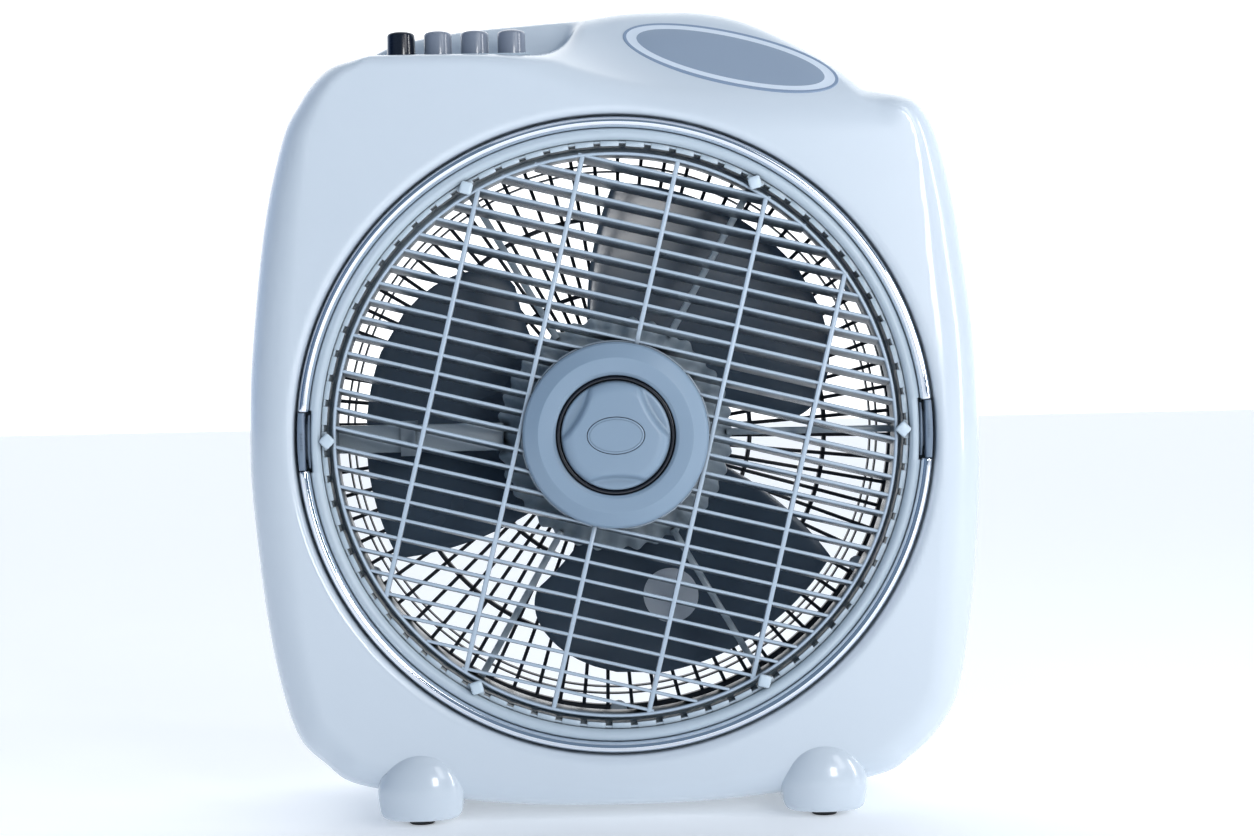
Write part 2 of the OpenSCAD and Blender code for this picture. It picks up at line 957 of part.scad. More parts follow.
module foot(side) {
    half = foot_w / 2;
    color("white")
        difference() {
            translate([side * foot_x, 0, 0])
                hull()
                    for (end = [-1, 1])
                        translate([0, end * (foot_l / 2 - foot_nose), 0])
                            scale([1, foot_nose / half, 1]) {
                                translate([0, 0, pad_h + foot_h - half])
                                    sphere(half, $fn = 40);
                                translate([0, 0, pad_h])
                                    cylinder(r = half - 2, h = 2, $fn = 40);
                            }
            front_solid();
            rear_solid();
            translate([-body_w, -body_w, pad_h - 2 * reach])
                cube([2 * body_w, 2 * body_w, 2 * reach]);
            for (y = [-foot_screw_y, foot_screw_y]) {
                foot_hole(side, y, foot_screw_r + 0.2);
                translate([side * foot_x, y, pad_h - 1])
                    cylinder(r = 4.5, h = 5, $fn = 32);
            }
        }
}

module left_foot() {
    foot(-1);
}

module right_foot() {
    foot(1);
}

module rubber_pads() {
    color("black")
        for (x = [-foot_x, foot_x], y = [-pad_y, pad_y])
            translate([x, y, 0])
                cylinder(r = pad_r, h = pad_h);
}

module foot_screws() {
    color("silver")
        for (x = [-foot_x, foot_x], y = [-foot_screw_y, foot_screw_y])
            translate([x, y, 0]) {
                translate([0, 0, pad_h + 1.5])
                    cylinder(r = 4, h = 2.5, $fn = 32);
                translate([0, 0, pad_h + 4])
                    cylinder(r = foot_screw_r, h = 15, $fn = 32);
            }
}

// ---- fan ----

// Angles from the blade's middle line to its two edges, at a radius
function edge_a(r) = 52 - 19 * (r - fan_hub_r) / (blade_r - fan_hub_r);
function edge_b(r) = r < 100 ? -36 - 17 * (r - fan_hub_r) / (100 - fan_hub_r)
    : -12 - 41 * sqrt(max(0, 1 - pow((r - 100) / (blade_r - 100), 2)));

// Height of the helical blade along the axis, at an angle from its middle line
function blade_y(a) = -(blade_d - blade_t) / 2 * (a - 0.5) / 52.5;

// A point on the blade, w from 0 to 1 between its edges, at an offset along the axis
function blade_point(r, w, lift) = let (a = edge_b(r) + (edge_a(r) - edge_b(r)) * w)
    [r * cos(a), blade_y(a) + lift, r * sin(a)];

module blade() {
    rows = 9;
    cols = 10;
    r0 = fan_hub_r - 3;
    radii = [for (i = [0:rows]) r0 + (blade_r - 0.2 - r0) * pow(i / rows, 0.75)];
    front = [for (r = radii, j = [0:cols]) blade_point(r, j / cols, -blade_t / 2)];
    back = [for (r = radii, j = [0:cols]) blade_point(r, j / cols, blade_t / 2)];
    n = (rows + 1) * (cols + 1);
    wide = cols + 1;
    sheet = [for (i = [0:rows - 1], j = [0:cols - 1], h = [0, 1])
        h == 0 ? [i * wide + j, (i + 1) * wide + j + 1, (i + 1) * wide + j]
               : [i * wide + j, i * wide + j + 1, (i + 1) * wide + j + 1]];
    edge = concat([for (j = [0:cols]) j], [for (i = [1:rows]) i * wide + cols],
        [for (j = [1:cols]) rows * wide + cols - j], [for (i = [1:rows - 1]) (rows - i) * wide]);
    m = len(edge);
    sides = [for (k = [0:m - 1], h = [0, 1])
        h == 0 ? [edge[(k + 1) % m], edge[k], edge[k] + n]
               : [edge[(k + 1) % m], edge[k] + n, edge[(k + 1) % m] + n]];
    polyhedron(concat(front, back), concat(sheet, [for (f = sheet) [f[2] + n, f[1] + n, f[0] + n]],
        sides));
}

module fan_blade() {
    color("darkslategray")
        difference() {
            union() {
                on_axis()
                    around(blade_count, blade_angle)
                        blade();
                lathe([[0, blade_front_y], [fan_hub_r - 4, blade_front_y],
                    [fan_hub_r, blade_front_y + 4], [fan_hub_r, blade_back_y],
                    [fan_hub_r - wall, blade_back_y], [fan_hub_r - wall, blade_front_y + 5],
                    [shaft_r + 5, blade_front_y + 3], [shaft_r + 5, pin_y + 2], [0, pin_y + 2]]);
            }
            disc(shaft_r, blade_front_y - 1, blade_back_y);
            pin_shape();
        }
}

module pin_shape() {
    translate([0, pin_y, axis_z])
        rotate([0, 90, 0])
            cylinder(r = pin_r, h = 18, center = true, $fn = 32);
}

module drive_pin() {
    color("silver")
        pin_shape();
}

module motor_shaft() {
    color("silver")
        difference() {
            disc(shaft_r, shaft_front, shaft_back);
            pin_shape();
        }
}

module rotor_core() {
    color("darkgray")
        ring(rotor_r, shaft_r, core_y, core_back_y);
}

module blade_nut() {
    color("dimgray")
        difference() {
            on_axis()
                slab(nut_y, blade_front_y)
                    difference() {
                        circle(14);
                        for (i = [0:11])
                            rotate(30 * i)
                                translate([15, 0])
                                    circle(2, $fn = 24);
                    }
            disc(shaft_r, shaft_front, blade_front_y + 1);
        }
}

module blade_sticker() {
    place_r = 98;
    place_a = -8;
    rounds = 2;
    steps = 24;
    gap = 0.25;
    spots = concat([[0, 0]], [for (k = [1:rounds], i = [0:steps - 1])
        [sticker_r * k / rounds * cos(360 * i / steps), sticker_r * k / rounds * sin(360 * i / steps)]]);
    function spot(s, lift) = let (r = norm([place_r + s[0], s[1]]),
        a = place_a + atan2(s[1], place_r + s[0])) [r * cos(a), blade_y(a) + lift, r * sin(a)];
    lift = -blade_t / 2 - gap;
    n = len(spots);
    fan = [for (i = [0:steps - 1]) [0, 1 + (i + 1) % steps, 1 + i]];
    band = [for (i = [0:steps - 1], h = [0, 1]) let (p = 1 + i, q = 1 + (i + 1) % steps)
        h == 0 ? [p, q + steps, p + steps] : [p, q, q + steps]];
    cap = concat(fan, band);
    rim = [for (i = [0:steps - 1], h = [0, 1]) let (p = 1 + steps + i, q = 1 + steps + (i + 1) % steps)
        h == 0 ? [p, q, q + n] : [p, q + n, p + n]];
    color("lavender")
        on_axis()
            turned_by(blade_angle - 240)
                polyhedron(concat([for (s = spots) spot(s, lift - 0.4)], [for (s = spots) spot(s, lift)]),
                    concat(cap, [for (f = cap) [f[2] + n, f[1] + n, f[0] + n]], rim));
}

// ---- louver disc and knob ----

module louver_grille() {
    half = (slat_count - 1) / 2;
    mid = (louver_front_y + louver_back_y) / 2;
    rake = slat_t + slat_d * tan(slat_lean);
    color("slategray")
        on_axis()
            turned_by(-louver_turn) {
                difference() {
                    intersection() {
                        union() {
                            for (i = [-half:half])
                                translate([0, mid, i * slat_pitch])
                                    rotate([-slat_lean, 0, 0])
                                        cube([2 * louver_r, slat_d - 0.6, slat_t], center = true);
                            for (i = [-2:2])
                                translate([i * divider_gap, louver_front_y + divider_d / 2, 0])
                                    cube([divider_w, divider_d - 0.4, 2 * louver_r], center = true);
                        }
                        slab(louver_front_y, louver_back_y)
                            circle(louver_r - rim_t / 2);
                    }
                    slab(louver_front_y - 1, louver_back_y + 1)
                        circle(cap_r - 1.2);
                }
                slab(louver_front_y, louver_back_y)
                    difference() {
                        circle(louver_r);
                        circle(louver_r - rim_t);
                    }
                slab(louver_front_y + 1, louver_back_y)
                    difference() {
                        circle(cap_r + 1);
                        circle(cap_r);
                    }
            }
}

module louver_cap() {
    floor_back = cap_floor_y + wall;
    color("lightslategray")
        difference() {
            lathe([[0, cap_back_y], [9, cap_back_y], [9, floor_back], [cap_r - wall, floor_back],
                [cap_r - wall, louver_back_y], [cap_r - 1.3, louver_back_y], [cap_r - 1.3, louver_front_y],
                [cap_r, louver_front_y], [cap_r, -80], [cap_r - 1.5, cap_y + 0.5], [cap_r - 3, cap_y],
                [cap_r - 9, cap_y + 0.8], [cap_r - 10.5, cap_y + 2.4], [recess_r, cap_y + 3],
                [recess_r, cap_floor_y], [0, cap_floor_y]]);
            disc(louver_shaft_r, louver_shaft_front, cap_back_y + 1);
            disc(knob_stem_r + 0.05, cap_floor_y - 1, louver_shaft_front);
        }
}

module knob_collar() {
    color("black")
        ring(recess_r - 0.1, knob_r + fit, cap_floor_y - 5.5, cap_floor_y);
}

module louver_shaft() {
    color("silver") {
        disc(louver_shaft_r, louver_shaft_front, louver_shaft_back);
        ring(louver_shaft_r + 3, louver_shaft_r - 1, cap_back_y, cap_back_y + 2);
    }
}

module lock_knob() {
    back = cap_floor_y - fit;
    color("lightsteelblue")
        difference() {
            lathe([[0, knob_y], [knob_r - 6, knob_y + 0.6], [knob_r - 1.5, knob_y + 2.4],
                [knob_r, knob_y + 5], [knob_r, back], [knob_stem_r, back],
                [knob_stem_r, louver_shaft_front - 0.5], [0, louver_shaft_front - 0.5]]);
            on_axis()
                for (a = [30, 150, 270])
                    turned_by(a)
                        translate([41, 0, 0])
                            slab(knob_y - 1, knob_y + 5)
                                circle(21);
            on_axis()
                slab(knob_y - 1, knob_y + 1)
                    polygon(oval(30.4, 19.7, 40));
        }
}

module knob_badge() {
    color("lightslategray")
        on_axis()
            slab(knob_y - 0.2, knob_y + 1)
                polygon(oval(30, 19.3, 40));
}

// ---- buttons and their springs ----

module button(i, tint) {
    color(tint)
        translate([button_mid_x + button_pitch * (i - 1.5), button_y, 0])
            rotate_extrude()
                polygon([[0, shelf_z - button_skirt], [button_r, shelf_z - button_skirt],
                    [button_r, shelf_z + 3], [button_r - 0.6, shelf_z + button_top - 1.5],
                    [button_r - 2, shelf_z + button_top - 0.3], [0, shelf_z + button_top]]);
    color(tint)
        translate([button_mid_x + button_pitch * (i - 1.5), button_y, switch_top - switch_h + 7])
            cylinder(r = stem_r, h = shelf_z - button_skirt - switch_top + switch_h - 6, $fn = 32);
}

module button_off() {
    button(0, "black");
}

module button_low() {
    button(1, "gray");
}

module button_medium() {
    button(2, "gray");
}

module button_high() {
    button(3, "gray");
}

// Helical return spring between a button and the switch block
module spring(i) {
    turns = 4;
    per_turn = 10;
    wire = 0.45;
    coil = 4.6;
    low = switch_top + wire;
    high = shelf_z - button_skirt - wire;
    steps = turns * per_turn;
    sides = 5;
    points = [for (s = [0:steps], k = [0:sides - 1]) let (a = 360 * s / per_turn, b = 360 * k / sides,
        r = coil + wire * cos(b)) [r * cos(a), r * sin(a), low + (high - low) * s / steps + wire * sin(b)]];
    skin = [for (s = [0:steps - 1], k = [0:sides - 1], h = [0, 1])
        let (p = s * sides + k, q = s * sides + (k + 1) % sides)
        h == 0 ? [p, q + sides, p + sides] : [p, q, q + sides]];
    color("silver")
        translate([button_mid_x + button_pitch * (i - 1.5), button_y, 0])
            polyhedron(points, concat(skin, [[for (k = [sides - 1:-1:0]) k]],
                [[for (k = [0:sides - 1]) steps * sides + k]]));
}

module spring_off() {
    spring(0);
}

module spring_low() {
    spring(1);
}

module spring_medium() {
    spring(2);
}

module spring_high() {
    spring(3);
}

front_shell();
rear_shell();
label_plate();
chrome_ring();
bezel_ring();
front_guard();
guard_screws();
wire_duct();
duct_clip();
duct_wire();
louver_motor();
louver_motor_screws();
rear_grille();
grille_screws();
motor_front_bell();
motor_rear_bell();
stator_core();
stator_windings();
motor_bolts();
motor_screws();
front_bearing();
rear_bearing();
capacitor();
switch_block();
button_plate();
terminal_block();
cord_gland();
housing_screws();
left_foot();
right_foot();
rubber_pads();
foot_screws();
fan_blade();
motor_shaft();
rotor_core();
blade_nut();
drive_pin();
blade_sticker();
louver_grille();
louver_cap();
knob_collar();
louver_shaft();
lock_knob();
knob_badge();
button_off();
button_low();
button_medium();
button_high();
spring_off();
spring_low();
spring_medium();
spring_high();
latch_left();
latch_right();
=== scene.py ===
import json
import math
import bpy
import bmesh
import numpy as np
from mathutils import Matrix, Vector


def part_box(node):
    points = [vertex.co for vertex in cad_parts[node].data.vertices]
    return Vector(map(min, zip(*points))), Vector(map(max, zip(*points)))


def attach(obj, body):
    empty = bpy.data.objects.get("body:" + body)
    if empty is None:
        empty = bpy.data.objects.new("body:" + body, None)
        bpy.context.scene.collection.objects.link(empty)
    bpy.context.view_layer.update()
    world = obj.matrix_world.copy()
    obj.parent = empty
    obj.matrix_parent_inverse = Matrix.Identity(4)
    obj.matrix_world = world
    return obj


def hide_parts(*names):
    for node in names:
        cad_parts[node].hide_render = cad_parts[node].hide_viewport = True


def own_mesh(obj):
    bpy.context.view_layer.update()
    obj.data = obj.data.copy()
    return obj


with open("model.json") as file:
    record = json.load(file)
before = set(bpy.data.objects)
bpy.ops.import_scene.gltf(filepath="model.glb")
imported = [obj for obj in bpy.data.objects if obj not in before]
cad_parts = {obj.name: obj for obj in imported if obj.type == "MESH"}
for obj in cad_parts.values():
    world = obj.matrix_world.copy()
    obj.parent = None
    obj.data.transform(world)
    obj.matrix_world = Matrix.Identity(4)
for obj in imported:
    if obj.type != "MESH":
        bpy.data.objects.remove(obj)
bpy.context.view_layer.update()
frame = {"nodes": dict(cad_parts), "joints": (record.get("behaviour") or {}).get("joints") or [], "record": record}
mm = 0.001
fanJoint = [j for j in frame["joints"] if j["name"] == "fan_spin"][0]
axisHeight = fanJoint["pos_m"][2] / mm
print("frame loaded")


def span(node):
    # lowest and highest corner of a CAD node, in millimetres
    low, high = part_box(node)
    return np.array(low) / mm, np.array(high) / mm


# camera, light and studio

studio = {
    "cameraPlace": (-0.0135, -1.250, 0.232),
    "lens": 63.44,
    "aim": (0, -0.05, 0.22),       # where the lights point
    "turn": 0.96,          # degrees to the right
    "dip": 0.88,           # degrees below level
    "roll": 1.2,
    "keyPlace": (1.15, -1.35, 1.25),
    "keySize": (0.55, 1.1),
    "keyPower": 5.5,
    "stripPlace": (1.45, -0.55, 0.55),
    "stripSize": (0.13, 0.8),
    "stripPower": 5,
    "frontPlace": (0.68, -1.75, 0.55),
    "frontSize": (0.35, 0.5),
    "frontPower": 8,
    "topPlace": (0.1, -0.5, 1.9),
    "topSize": (1.6, 0.9),
    "topPower": 1.5,
    "fillPlace": (-1.9, -1.6, 0.7),
    "fillSize": (1.4, 1.6),
    "fillPower": 0.8,
    "fillColor": (0.6, 0.8, 1.0),
    "skyBehind": (1.70, 1.74, 1.78),
    "skyFront": (0.14, 0.20, 0.28),
    "skyLeft": (0.10, 0.22, 0.46),
    "skyRight": (0.35, 0.45, 0.60),
    "skyTurn": 0.55,               # where the bright sky behind begins
    "openSky": (0.275, 0.72),      # between these the sky isn't tinted sideways
    "floor": (0.90, 0.91, 0.92),
    "floorGlow": 0.24,
    "glowColor": (0.93, 0.96, 1.0),
    "floorSide": 24.0,
}


def makeCamera():
    camera = bpy.data.objects.new("camera", bpy.data.cameras.new("camera"))
    bpy.context.scene.collection.objects.link(camera)
    camera.data.lens = studio["lens"]
    camera.data.sensor_width = 36
    camera.matrix_world = (
        Matrix.Translation(studio["cameraPlace"])
        @ Matrix.Rotation(-math.radians(studio["turn"]), 4, "Z")
        @ Matrix.Rotation(math.radians(90 - studio["dip"]), 4, "X")
        @ Matrix.Rotation(-math.radians(studio["roll"]), 4, "Z")
    )
    bpy.context.scene.camera = camera


def softbox(name, place, size, power, color=(1, 1, 1)):
    light = bpy.data.lights.new(name, "AREA")
    light.shape = "RECTANGLE"
    light.size, light.size_y = size
    light.energy = power
    light.color = color
    lamp = bpy.data.objects.new(name, light)
    bpy.context.scene.collection.objects.link(lamp)
    lamp.location = place
    lamp.rotation_euler = (Vector(studio["aim"]) - Vector(place)).to_track_quat("-Z", "Y").to_euler()


def makeStudio():
    for name in ("key", "strip", "front", "top"):
        softbox(name + "Light", studio[name + "Place"], studio[name + "Size"], studio[name + "Power"])
    softbox("fillLight", studio["fillPlace"], studio["fillSize"], studio["fillPower"], studio["fillColor"])
    world = bpy.data.worlds.new("studioSky")
    bpy.context.scene.world = world
    world.use_nodes = True
    nodes, links = world.node_tree.nodes, world.node_tree.links
    coords = nodes.new("ShaderNodeTexCoord")
    parts = nodes.new("ShaderNodeSeparateXYZ")
    links.new(coords.outputs["Generated"], parts.inputs[0])
    sideways = nodes.new("ShaderNodeMapRange")
    sideways.inputs["From Min"].default_value = -1
    sideways.inputs["From Max"].default_value = 1
    links.new(parts.outputs["X"], sideways.inputs["Value"])
    shade = nodes.new("ShaderNodeValToRGB")
    shade.color_ramp.elements[0].color = (*studio["skyLeft"], 1)
    shade.color_ramp.elements[1].color = (*studio["skyRight"], 1)
    for spot in studio["openSky"]:
        shade.color_ramp.elements.new(spot).color = (1, 1, 1, 1)
    links.new(sideways.outputs[0], shade.inputs[0])
    ramp = nodes.new("ShaderNodeValToRGB")
    ramp.color_ramp.elements[0].position = 0.0
    ramp.color_ramp.elements[0].color = (*studio["skyFront"], 1)
    ramp.color_ramp.elements[1].position = studio["skyTurn"]
    ramp.color_ramp.elements[1].color = (*studio["skyBehind"], 1)
    links.new(parts.outputs["Y"], ramp.inputs[0])
    tinted = nodes.new("ShaderNodeVectorMath")
    tinted.operation = "MULTIPLY"
    links.new(ramp.outputs[0], tinted.inputs[0])
    links.new(shade.outputs[0], tinted.inputs[1])
    links.new(tinted.outputs[0], nodes["Background"].inputs[0])
    paint = finishes["floorPaint"]
    shader = paint.node_tree.nodes["Principled BSDF"]
    shader.inputs["Emission Color"].default_value = (*studio["glowColor"], 1)
    shader.inputs["Emission Strength"].default_value = studio["floorGlow"]
    floor = meshPiece("floor", *squareSheet(studio["floorSide"]), paint)
    bpy.context.scene.view_settings.view_transform = "Standard"


# mesh helpers

def squareSheet(side):
    half = side / 2
    return [(-half, -half, 0), (half, -half, 0), (half, half, 0), (-half, half, 0)], [(0, 1, 2, 3)]


def meshPiece(name, verts, faces, *materials, scale=1.0, faceMaterials=None, smoothAngle=35):
    mesh = bpy.data.meshes.new(name)
    mesh.from_pydata([tuple(float(c) * scale for c in v) for v in verts], [],
                     [tuple(int(i) for i in f) for f in faces])
    for material in materials:
        mesh.materials.append(material)
    if faceMaterials is not None:
        mesh.polygons.foreach_set("material_index", np.array(faceMaterials, np.int32))
    mesh.validate()
    if smoothAngle:
        mesh.shade_smooth()
        mesh.set_sharp_from_angle(angle=math.radians(smoothAngle))
    piece = bpy.data.objects.new(name, mesh)
    bpy.context.scene.collection.objects.link(piece)
    return piece


def join(*parts):
    # several (verts, faces) lists as one
    verts, faces = [], []
    for v, f in parts:
        start = len(verts)
        verts.extend([tuple(p) for p in v])
        faces.extend([tuple(i + start for i in face) for face in f])
    return verts, faces


def place(part, change):
    verts, faces = part
    return [change(*v) for v in verts], faces


def filleted(corners, steps=5):
    # corners are (u, v, radius): an outline with those corners rounded
    out = []
    count = len(corners)
    for i, (u, v, r) in enumerate(corners):
        p = Vector((u, v))
        if r <= 0:
            out.append((u, v))
            continue
        a = Vector(corners[i - 1][:2]) - p
        b = Vector(corners[(i + 1) % count][:2]) - p
        half = a.angle(b) / 2
        back = min(r / math.tan(half), a.length * 0.49, b.length * 0.49)
        r = back * math.tan(half)
        a.normalize()
        b.normalize()
        middle = p + (a + b).normalized() * (r / math.sin(half))
        start = p + a * back - middle
        end = p + b * back - middle
        turn = start.angle_signed(end, 0)
        for k in range(steps + 1):
            q = middle + Matrix.Rotation(-turn * k / steps, 2) @ start
            out.append((q.x, q.y))
    return out


def spun(profile, segments=128, start=0.0, end=360.0, change=None):
    # a closed outline of (radius, along) turned about an axis, with end caps where it isn't a full turn
    whole = abs(end - start) >= 359.999
    rows = segments if whole else segments + 1
    verts, faces = [], []
    n = len(profile)
    for i in range(rows):
        a = math.radians(start + (end - start) * i / segments)
        for r, along in profile:
            verts.append((r * math.cos(a), along, r * math.sin(a)))
    for i in range(segments):
        j = (i + 1) % rows
        for k in range(n):
            m = (k + 1) % n
            faces.append((i * n + k, i * n + m, j * n + m, j * n + k))
    if not whole:
        faces.append(tuple(range(n))[::-1])
        faces.append(tuple(range((rows - 1) * n, rows * n)))
    if change:
        verts = [change(*v) for v in verts]
    return verts, faces


def solidMesh(name, part, *materials, smoothAngle=35, **more):
    # a piece from parts in millimetres, its doubled points merged and its faces turned outward
    piece = meshPiece(name, *part, *materials, scale=mm, smoothAngle=None, **more)
    work = bmesh.new()
    work.from_mesh(piece.data)
    bmesh.ops.remove_doubles(work, verts=work.verts, dist=1e-6)
    bmesh.ops.dissolve_degenerate(work, edges=work.edges, dist=1e-7)
    bmesh.ops.recalc_face_normals(work, faces=work.faces)
    work.to_mesh(piece.data)
    work.free()
    piece.data.shade_smooth()
    piece.data.set_sharp_from_angle(angle=math.radians(smoothAngle))
    return piece


def roundBoxes(boxes, radius, steps=2):
    # boxes as (low, high) corners, all of their edges rounded by the same radius, in millimetres
    work = bmesh.new()
    for low, high in boxes:
        low, high = Vector(low), Vector(high)
        size = high - low
        shape = Matrix.Translation((low + high) / 2) @ Matrix.Diagonal((*size, 1))
        bmesh.ops.create_cube(work, size=1, matrix=shape)
    bmesh.ops.bevel(work, geom=work.edges[:], offset=radius, segments=steps, profile=0.5, affect="EDGES")
    work.verts.index_update()
    verts = [tuple(v.co) for v in work.verts]
    faces = [tuple(v.index for v in f.verts) for f in work.faces]
    work.free()
    return verts, faces


def aboutAxis(degrees):
    # turns a point about the fan's axis, counter-clockwise from the front, and lifts it to the axis
    c, s = math.cos(math.radians(degrees)), math.sin(math.radians(degrees))
    return lambda x, y, z: (x * c - z * s, y, x * s + z * c + axisHeight)


def softMax(a, b, width):
    gap = np.maximum(width - np.abs(a - b), 0) / width
    return np.maximum(a, b) + gap * gap * width / 4


def moulded(field, low, high, cell):
    # a closed mesh of the surface where field(x, y, z) is zero, in millimetres, with its normals
    axes = [np.arange(l - 2 * cell, h + 3 * cell, cell) for l, h in zip(low, high)]
    values = field(axes[0][:, None, None], axes[1][None, :, None], axes[2][None, None, :])
    shape = np.array(values.shape)
    inside = values < 0
    cells = shape - 1
    total = np.zeros((int(cells.prod()), 3))
    hits = np.zeros(int(cells.prod()))
    crossings = []
    for axis in range(3):
        one = [slice(None)] * 3
        two = [slice(None)] * 3
        one[axis] = slice(0, -1)
        two[axis] = slice(1, None)
        cut = inside[tuple(one)] != inside[tuple(two)]
        where = np.argwhere(cut)
        first = values[tuple(one)][cut]
        second = values[tuple(two)][cut]
        t = first / (first - second)
        point = where.astype(float)
        point[:, axis] += t
        u, v = (axis + 1) % 3, (axis + 2) % 3
        around = []
        for du, dv in ((0, 0), (1, 0), (1, 1), (0, 1)):
            c = where.copy()
            c[:, u] -= du
            c[:, v] -= dv
            flat = (c[:, 0] * cells[1] + c[:, 1]) * cells[2] + c[:, 2]
            np.add.at(total, flat, point)
            np.add.at(hits, flat, 1)
            around.append(flat)
        around = np.stack(around, 1)
        around[first > 0] = around[first > 0][:, ::-1]
        crossings.append(around)
    used = np.flatnonzero(hits)
    index = np.full(len(hits), -1)
    index[used] = np.arange(len(used))
    start = np.array([a[0] for a in axes])
    points = total[used] / hits[used][:, None] * cell + start
    faces = index[np.concatenate(crossings)]
    normals = None
    for step in range(4):
        value, slope = sloped(field, points)
        size = np.maximum((slope ** 2).sum(1), 1e-9)
        if step < 3:
            move = -(value / size)[:, None] * slope
            length = np.linalg.norm(move, axis=1)
            points += move * np.minimum(1, 0.6 * cell / np.maximum(length, 1e-9))[:, None]
        normals = slope / np.sqrt(size)[:, None]
    return points, faces, normals


def sloped(field, points, reach=0.15):
    x, y, z = points.T
    value = field(x, y, z)
    slope = np.stack([
        field(x + reach, y, z) - field(x - reach, y, z),
        field(x, y + reach, z) - field(x, y - reach, z),
        field(x, y, z + reach) - field(x, y, z - reach)], 1) / (2 * reach)
    return value, slope


def mouldedPiece(name, field, low, high, cell, material):
    points, faces, normals = moulded(field, low, high, cell)
    mesh = bpy.data.meshes.new(name)
    mesh.vertices.add(len(points))
    mesh.vertices.foreach_set("co", (points * mm).ravel())
    mesh.loops.add(len(faces) * 4)
    mesh.loops.foreach_set("vertex_index", faces.ravel().astype(np.int32))
    mesh.polygons.add(len(faces))
    mesh.polygons.foreach_set("loop_start", np.arange(0, len(faces) * 4, 4, dtype=np.int32))
    mesh.update(calc_edges=True)
    mesh.validate()
    mesh.shade_smooth()
    mesh.normals_split_custom_set_from_vertices(normals.tolist())
    mesh.materials.append(material)
    piece = bpy.data.objects.new(name, mesh)
    bpy.context.scene.collection.objects.link(piece)
    print("moulded", name, len(points))
    return piece


def fit(piece, body, slot, *nodes):
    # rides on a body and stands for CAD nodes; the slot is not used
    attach(piece, body)
    if nodes:
        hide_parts(*nodes)
    return piece


# finishes

def finish(name, color, roughness=0.4, metallic=0.0, coat=0.0, coatRoughness=0.05, grain=900.0, depth=0.02,
           mottle=0.03, spread=0.05, cloud=9.0, transmission=0.0, brushed=None, paintedShadeReach=0.0):
    # a moulded or metal finish: a faint cloud in the colour and the gloss, a fine grain in the relief;
    # the last argument is how far painted shade darkens the colour of narrow places, in millimetres
    material = bpy.data.materials.new(name)
    material.use_nodes = True
    nodes, links = material.node_tree.nodes, material.node_tree.links
    shader = nodes["Principled BSDF"]
    coords = nodes.new("ShaderNodeTexCoord")
    clouds = nodes.new("ShaderNodeTexNoise")
    clouds.inputs["Scale"].default_value = cloud
    clouds.inputs["Detail"].default_value = 3
    links.new(coords.outputs["Object"], clouds.inputs["Vector"])
    tint = nodes.new("ShaderNodeValToRGB")
    tint.color_ramp.elements[0].position = 0.3
    tint.color_ramp.elements[0].color = (*[c * (1 - mottle) for c in color], 1)
    tint.color_ramp.elements[1].position = 0.7
    tint.color_ramp.elements[1].color = (*[min(1, c * (1 + mottle)) for c in color], 1)
    links.new(clouds.outputs["Fac"], tint.inputs[0])
    if paintedShadeReach:
        # painted shade: an ambient occlusion node darkens the colour in narrow places
        deep = nodes.new("ShaderNodeAmbientOcclusion")
        deep.samples = 6
        deep.inputs["Distance"].default_value = paintedShadeReach * mm
        links.new(tint.outputs[0], deep.inputs["Color"])
        links.new(deep.outputs["Color"], shader.inputs["Base Color"])
    else:
        links.new(tint.outputs[0], shader.inputs["Base Color"])
    fine = nodes.new("ShaderNodeTexNoise")
    fine.inputs["Scale"].default_value = grain
    fine.inputs["Detail"].default_value = 4
    if brushed:
        stretch = nodes.new("ShaderNodeMapping")
        stretch.inputs["Scale"].default_value = brushed
        links.new(coords.outputs["Object"], stretch.inputs["Vector"])
        links.new(stretch.outputs[0], fine.inputs["Vector"])
    else:
        links.new(coords.outputs["Object"], fine.inputs["Vector"])
    gloss = nodes.new("ShaderNodeMapRange")
    gloss.inputs["To Min"].default_value = max(0.02, roughness - spread)
    gloss.inputs["To Max"].default_value = roughness + spread
    links.new(clouds.outputs["Fac"], gloss.inputs["Value"])
    links.new(gloss.outputs[0], shader.inputs["Roughness"])
    relief = nodes.new("ShaderNodeBump")
    relief.inputs["Strength"].default_value = 0.5
    relief.inputs["Distance"].default_value = depth * mm
    links.new(fine.outputs["Fac"], relief.inputs["Height"])
    links.new(relief.outputs[0], shader.inputs["Normal"])
    shader.inputs["Metallic"].default_value = metallic
    shader.inputs["Coat Weight"].default_value = coat
    shader.inputs["Coat Roughness"].default_value = coatRoughness
    shader.inputs["Transmission Weight"].default_value = transmission
    return material


